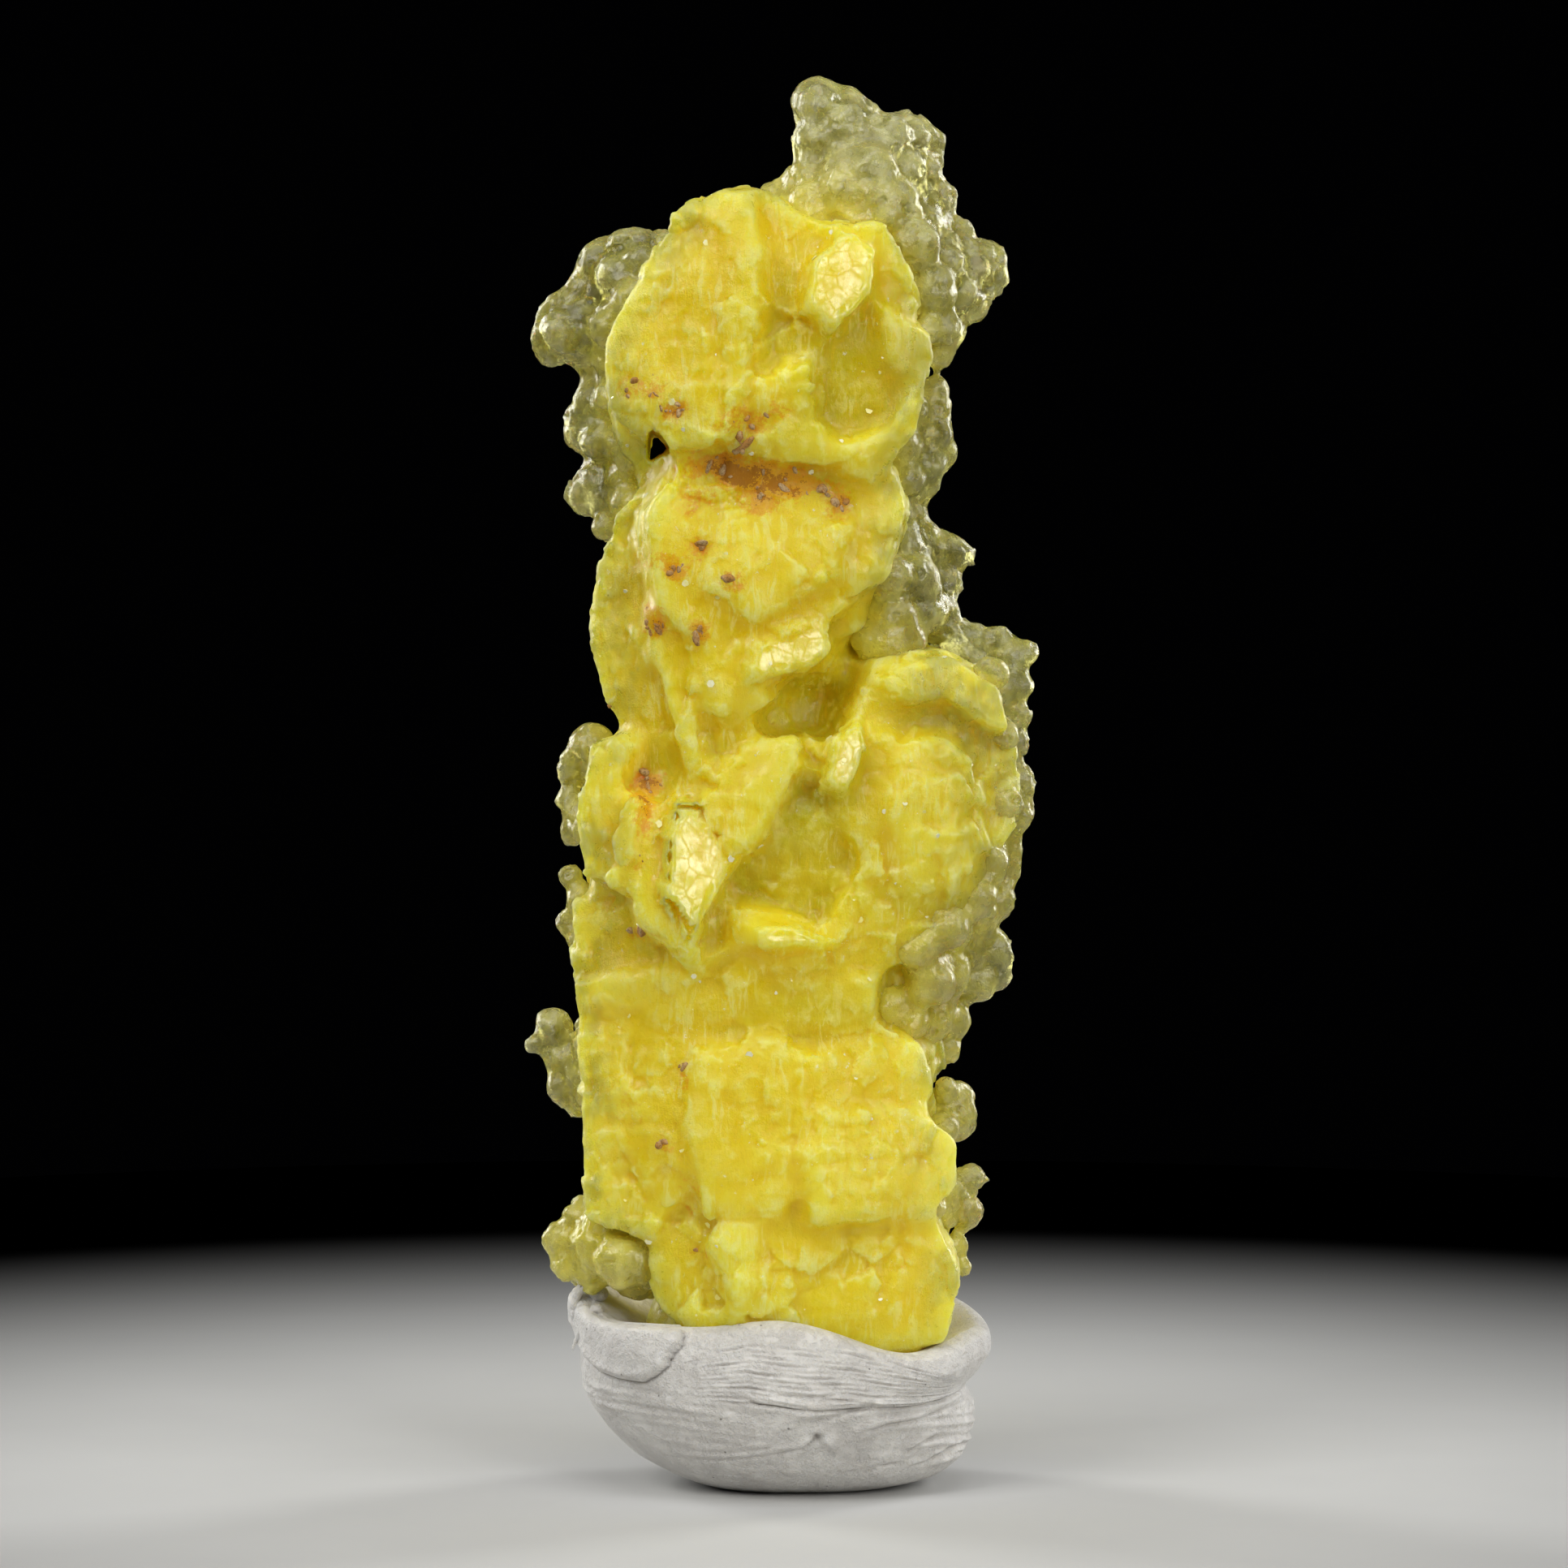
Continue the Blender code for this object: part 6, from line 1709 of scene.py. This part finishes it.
class DetailSettings(bpy.types.PropertyGroup):
    """Sizes and colours of the flakes and the iron grains."""

    flake_radius: FloatProperty(
        name="Flake radius", description="Largest radius of a flake",
        default=0.00026, min=0.0, unit="LENGTH",
    )
    flake_density: FloatProperty(
        name="Flake density", description="Flakes on a square metre of the surface", default=0.7e5, min=0.0
    )
    flake_tilt: FloatProperty(
        name="Flake tilt", description="How far a flake leans out of the surface",
        default=0.5, min=0.0, subtype="ANGLE", unit="ROTATION",
    )
    grain_radius: FloatProperty(
        name="Grain radius", description="Middling radius of an iron grain",
        default=0.00019, min=0.0, unit="LENGTH",
    )
    rust: FloatVectorProperty(
        name="Rust", description="Colour of the rusty grains", subtype="COLOR",
        default=(0.50, 0.24, 0.05), min=0.0, max=1.0,
    )
    tan: FloatVectorProperty(
        name="Tan", description="Colour of the pale grains", subtype="COLOR",
        default=(0.60, 0.42, 0.21), min=0.0, max=1.0,
    )
    dark: FloatVectorProperty(
        name="Dark", description="Colour of the specks on the grains", subtype="COLOR",
        default=(0.18, 0.09, 0.03), min=0.0, max=1.0,
    )


class TackSettings(bpy.types.PropertyGroup):
    """Sizes and colours of the tack."""

    around: IntProperty(
        name="Around", description="Vertices round the tack", default=400, min=24
    )
    upwards: IntProperty(
        name="Upwards", description="Rings of vertices from the foot to the dish", default=236, min=24
    )
    line_depth: FloatProperty(
        name="Line depth", description="Depth of the lines drawn along the tack",
        default=0.00008, min=0.0, unit="LENGTH",
    )
    wrinkle_share: FloatProperty(
        name="Wrinkles", description="Strength of the wrinkles pressed round it", default=2.0, min=0.0
    )
    bead_fineness: FloatProperty(
        name="Curl fineness", description="Size of a face of the curled scrap",
        default=0.00009, min=0.00002, unit="LENGTH",
    )
    tone: FloatVectorProperty(
        name="Tone", description="Colour of the tack", subtype="COLOR",
        default=(0.80, 0.78, 0.74), min=0.0, max=1.0,
    )
    shade: FloatVectorProperty(
        name="Shade", description="Colour of its greyer parts", subtype="COLOR",
        default=(0.67, 0.645, 0.61), min=0.0, max=1.0,
    )
    # The crease colour is painted shade.
    crease_shade: FloatVectorProperty(
        name="Crease", description="Colour in its creases", subtype="COLOR",
        default=(0.42, 0.39, 0.36), min=0.0, max=1.0,
    )
    speck: FloatVectorProperty(
        name="Speck", description="Colour of the dust on it", subtype="COLOR",
        default=(0.16, 0.14, 0.12), min=0.0, max=1.0,
    )


class StageSettings(bpy.types.PropertyGroup):
    """The floor, the lights and the camera."""

    floor_radius: FloatProperty(
        name="Floor radius", description="Radius of the floor", default=0.17, min=0.05, unit="LENGTH"
    )
    lens: FloatProperty(
        name="Lens", description="Focal length in millimetres", default=180.0, min=10.0, unit="CAMERA"
    )
    picture: FloatProperty(
        name="Picture width", description="What the picture takes in at the specimen",
        default=0.0966, min=0.01, unit="LENGTH",
    )
    aim: FloatProperty(
        name="Aim", description="Height that the camera looks at", default=0.04335, unit="LENGTH"
    )
    rise: FloatProperty(
        name="Rise", description="How far the camera stands above the level",
        default=math.radians(4.0), subtype="ANGLE", unit="ROTATION",
    )
    brightness: FloatProperty(
        name="Brightness", description="How bright all the lights are together", default=1.0, min=0.0
    )


class SPECIMEN_OT_crystals(bpy.types.Operator):
    """Builds the yellow crystals, grown together as one closed body"""

    bl_idname = "specimen.crystals"
    bl_label = "Yellow crystals"

    def execute(self, context):
        settings = context.scene.specimen_crystals
        mesh = bmesh.new()
        for centre, half_sizes, corners, seed in CHUNKS:
            add_chunk(mesh, centre, half_sizes, corners, seed)
        add_foot(mesh)
        add_front_crystals(mesh, settings.step_rise / MM)
        add_side_crystals(mesh, settings.step_rise / MM)
        body = remeshed("brucite_body", mesh, settings.fineness * BODY_COARSE)
        push_out(body, settings.healed)
        fused(body, settings.fineness * BODY_COARSE)
        push_out(body, -settings.healed)
        with_window(body)
        fused(body, settings.fineness)
        softened(body, settings.soften)
        store(body.data, "polish", polish_of(positions(body.data) / MM, normals(body.data)))
        values = {"Facet Size": settings.facet_size, "Facet Height": settings.facet_height}
        values |= {"Swell Height": settings.swell, "Grain Height": settings.grain}
        run_tree(body, relief_tree(), values)
        softened(body, 1)
        thinned(body, settings.most_faces)
        flatten_polished(body.data)
        data = body.data
        smooth_shaded(data)
        places = positions(data) / MM
        store(data, "polish", polish_of(places, normals(data)))
        store(data, "stain", mark_strength(places, marks_of("stain", STAINS)))
        store(data, "green", mark_strength(places, marks_of("green", GREEN_HOLLOWS)))
        store(data, "pale", mark_strength(places, marks_of("pale", PALE_FACES)))
        store(data, "outer", outerness(places))
        keep_shape_marks(data)
        join_frame(body, brucite_material(settings), "brucite_cluster")
        return {"FINISHED"}


class SPECIMEN_OT_lobes(bpy.types.Operator):
    """Builds the clear lobes of the edges and of the back, studded with knobs"""

    bl_idname = "specimen.lobes"
    bl_label = "Clear lobes"

    def execute(self, context):
        settings = context.scene.specimen_lobes
        material = lobe_material(settings)
        tree, relief = knob_tree(), relief_tree()
        for seed, (name, lobes) in enumerate({"edge_lobes": edge_lobes, "back_lobes": back_lobes}.items()):
            mesh = bmesh.new()
            for place, radius in lobes():
                shape = Matrix.Translation(place * MM) @ Matrix.Diagonal((1.0, LOBE_DEPTH, 1.0, 1.0))
                size = (radius - KNOB_ROOM) * MM
                bmesh.ops.create_icosphere(mesh, subdivisions=3, radius=size, matrix=shape)
            piece = remeshed(name, mesh, settings.fineness * LOBE_COARSE)
            values = {"Knob Radius": settings.knob_radius, "Knob Spacing": settings.knob_spacing}
            values |= {"Sink": settings.knob_sink, "Seed": seed + KNOB_SEED}
            run_tree(piece, tree, values)
            fused(piece, settings.fineness * KNOB_COARSE)
            with_window(piece)
            fused(piece, settings.fineness)
            softened(piece, settings.soften)
            values = {"Facet Size": settings.facet_size, "Facet Height": settings.facet_height}
            values |= {"Swell Height": settings.facet_height, "Grain Height": settings.facet_height * 0.3}
            run_tree(piece, relief, values)
            softened(piece, 1)
            thinned(piece, context.scene.specimen_crystals.most_faces)
            smooth_shaded(piece.data)
            places = positions(piece.data) / MM
            for kind, marks in LOBE_MARKS.items():
                store(piece.data, kind, mark_strength(places, marks))
            store(piece.data, "near", nearness(places))
            keep_shape_marks(piece.data)
            join_frame(piece, material, "brucite_cluster")
        return {"FINISHED"}


class SPECIMEN_OT_flakes(bpy.types.Operator):
    """Scatters pearly cleavage flakes over the yellow crystals"""

    bl_idname = "specimen.flakes"
    bl_label = "Cleavage flakes"

    def execute(self, context):
        settings = context.scene.specimen_detail
        material = flake_material(context.scene.specimen_crystals)
        piece = linked("cleavage_flakes", bpy.data.objects["brucite_body"].data.copy())
        values = {"Density": settings.flake_density, "Flake Radius": settings.flake_radius}
        values |= {"Tilt": settings.flake_tilt, "Seed": FLAKE_SEED, "Material": material}
        run_tree(piece, flake_tree(), values)
        join_frame(piece, material, "brucite_cluster")
        return {"FINISHED"}


class SPECIMEN_OT_grains(bpy.types.Operator):
    """Puts bunches of iron grains in the joints of the crystals"""

    bl_idname = "specimen.grains"
    bl_label = "Iron grains"

    def execute(self, context):
        settings = context.scene.specimen_detail
        material = grain_material(settings)
        graph = context.evaluated_depsgraph_get()
        skin = BVHTree.FromObject(bpy.data.objects["brucite_body"], graph)
        rng = random.Random(GRAIN_SEED)
        ahead = Vector((0.0, 1.0, 0.0))
        rays = []
        for x, z, spread, count in GRAIN_BUNCHES:
            for _ in range(count):
                start = Vector((rng.gauss(x, spread * 0.5), -RAY_START, rng.gauss(z, spread * 0.32)))
                rays.append((start, ahead))
        for _ in range(BACK_GRAINS):
            angle = math.radians(rng.uniform(0.0, 180.0))
            away = Vector((math.cos(angle), math.sin(angle), 0.0))
            start = away * RAY_START + Vector((0.0, 0.0, rng.gauss(rng.choice(BACK_JOINTS), 1.4)))
            rays.append((start, -away))
        points = []
        for start, way in rays:
            place, facing, _, _ = skin.ray_cast(start * MM, way)
            if place is not None:
                points.append(place - facing * settings.grain_radius * 0.3)
        if not points:
            raise RuntimeError("the iron grains found no crystal to sit on")
        data = bpy.data.meshes.new("iron_grains")
        data.from_pydata(points, [], [])
        piece = linked("iron_grains", data)
        values = {"Grain Radius": settings.grain_radius, "Seed": GRAIN_TURN_SEED, "Material": material}
        run_tree(piece, grain_tree(), values)
        smooth_shaded(piece.data)
        join_frame(piece, material, "brucite_cluster")
        return {"FINISHED"}


class SPECIMEN_OT_tack(bpy.types.Operator):
    """Builds the pressed lump of tack and the curled scrap on its left"""

    bl_idname = "specimen.tack"
    bl_label = "Mineral tack"

    def execute(self, context):
        settings = context.scene.specimen_tack
        material = tack_material(settings)
        lump = linked("tack_lump", bpy.data.meshes.new("tack_lump"))
        run_tree(lump, ball_tree(), {"Around": settings.around, "Upwards": settings.upwards})
        data = lump.data
        ball = positions(data)
        polar = np.arccos(np.clip(ball[:, 2], -1.0, 1.0)) / math.pi
        travelled = np.concatenate([[0.0], np.cumsum(TACK_SHARES)])
        steps = np.interp((1.0 - polar) * travelled[-1], travelled, np.arange(len(travelled)))
        skin = tack_skin(np.arctan2(ball[:, 1], ball[:, 0]), steps)
        move_vertices(data, skin * MM)
        smooth_shaded(data)
        tack_detail(data, settings)
        keep_shape_marks(data)
        join_frame(lump, material, "putty_base")

        mesh = bmesh.new()
        for bead in TACK_EAR:
            add_bead(mesh, bead)
        curl = remeshed("tack_curl", mesh, settings.bead_fineness)
        softened(curl, CURL_SOFTENING)
        smooth_shaded(curl.data)
        keep_shape_marks(curl.data)
        join_frame(curl, material, "putty_base")
        return {"FINISHED"}


def add_softbox(name, turn, rise, distance, size, power, aim, colour):
    """A soft rectangular light, placed by its direction from the specimen, in degrees from the front."""
    data = bpy.data.lights.new(name, "AREA")
    data.shape = "RECTANGLE"
    data.size, data.size_y = size
    data.energy = power
    data.color = colour
    lamp = bpy.data.objects.new(name, data)
    bpy.context.scene.collection.objects.link(lamp)
    round_up, round_side = math.radians(rise), math.radians(turn)
    flat = math.cos(round_up)
    away = Vector((math.sin(round_side) * flat, -math.cos(round_side) * flat, math.sin(round_up)))
    lamp.location = Vector((0.0, 0.0, aim)) + away * distance
    lamp.rotation_euler = away.to_track_quat("Z", "Y").to_euler()
    return lamp


class SPECIMEN_OT_stage(bpy.types.Operator):
    """Sets up the pale floor, the soft lights and the camera"""

    bl_idname = "specimen.stage"
    bl_label = "Stage"

    def execute(self, context):
        settings = context.scene.specimen_stage
        mesh = bmesh.new()
        bmesh.ops.create_circle(mesh, cap_ends=True, segments=96, radius=settings.floor_radius)
        floor = built("floor", mesh)
        floor.data.materials.append(floor_material(settings))

        world = bpy.data.worlds.new("studio")
        context.scene.world = world
        world.use_nodes = True
        ground = world.node_tree.nodes["Background"]
        ground.inputs["Color"].default_value = STUDIO_DARK
        ground.inputs["Strength"].default_value = 1.0

        for name, turn, rise, distance, size, power, colour in SOFTBOXES:
            power *= settings.brightness
            add_softbox(name, turn, rise, distance, size, power, settings.aim, colour)

        view = bpy.data.cameras.new("camera")
        view.lens = settings.lens
        view.sensor_width = SENSOR_WIDTH
        view.clip_start = 0.01
        view.clip_end = 10.0
        camera = bpy.data.objects.new("camera", view)
        context.scene.collection.objects.link(camera)
        distance = settings.picture / SENSOR_WIDTH * settings.lens
        away = Vector((0.0, -math.cos(settings.rise), math.sin(settings.rise)))
        camera.location = Vector((0.0, 0.0, settings.aim)) + away * distance
        camera.rotation_euler = away.to_track_quat("Z", "Y").to_euler()
        context.scene.camera = camera
        context.scene.view_settings.view_transform = "Standard"
        return {"FINISHED"}


class SPECIMEN_PT_panel(bpy.types.Panel):
    """Lists the steps that build the specimen"""

    bl_idname = "SPECIMEN_PT_panel"
    bl_label = "Brucite specimen"
    bl_space_type = "VIEW_3D"
    bl_region_type = "UI"
    bl_category = "Specimen"

    def draw(self, context):
        for operator in OPERATORS:
            self.layout.operator(operator.bl_idname)


SETTINGS = {
    "specimen_crystals": CrystalSettings,
    "specimen_lobes": LobeSettings,
    "specimen_detail": DetailSettings,
    "specimen_tack": TackSettings,
    "specimen_stage": StageSettings,
}
OPERATORS = (
    SPECIMEN_OT_crystals, SPECIMEN_OT_lobes, SPECIMEN_OT_flakes, SPECIMEN_OT_grains, SPECIMEN_OT_tack,
    SPECIMEN_OT_stage,
)


def register():
    """Makes the settings, the operators and the panel known to Blender."""
    for group in SETTINGS.values():
        bpy.utils.register_class(group)
    for name, group in SETTINGS.items():
        setattr(bpy.types.Scene, name, PointerProperty(type=group))
    for operator in OPERATORS:
        bpy.utils.register_class(operator)
    bpy.utils.register_class(SPECIMEN_PT_panel)


def unregister():
    """Takes them away again."""
    bpy.utils.unregister_class(SPECIMEN_PT_panel)
    for operator in reversed(OPERATORS):
        bpy.utils.unregister_class(operator)
    for name, group in SETTINGS.items():
        delattr(bpy.types.Scene, name)
        bpy.utils.unregister_class(group)


def main():
    """Builds every piece in order."""
    register()
    bpy.ops.specimen.crystals()
    bpy.ops.specimen.lobes()
    bpy.ops.specimen.flakes()
    bpy.ops.specimen.grains()
    bpy.ops.specimen.tack()
    bpy.ops.specimen.stage()


if __name__ == "__main__":
    main()
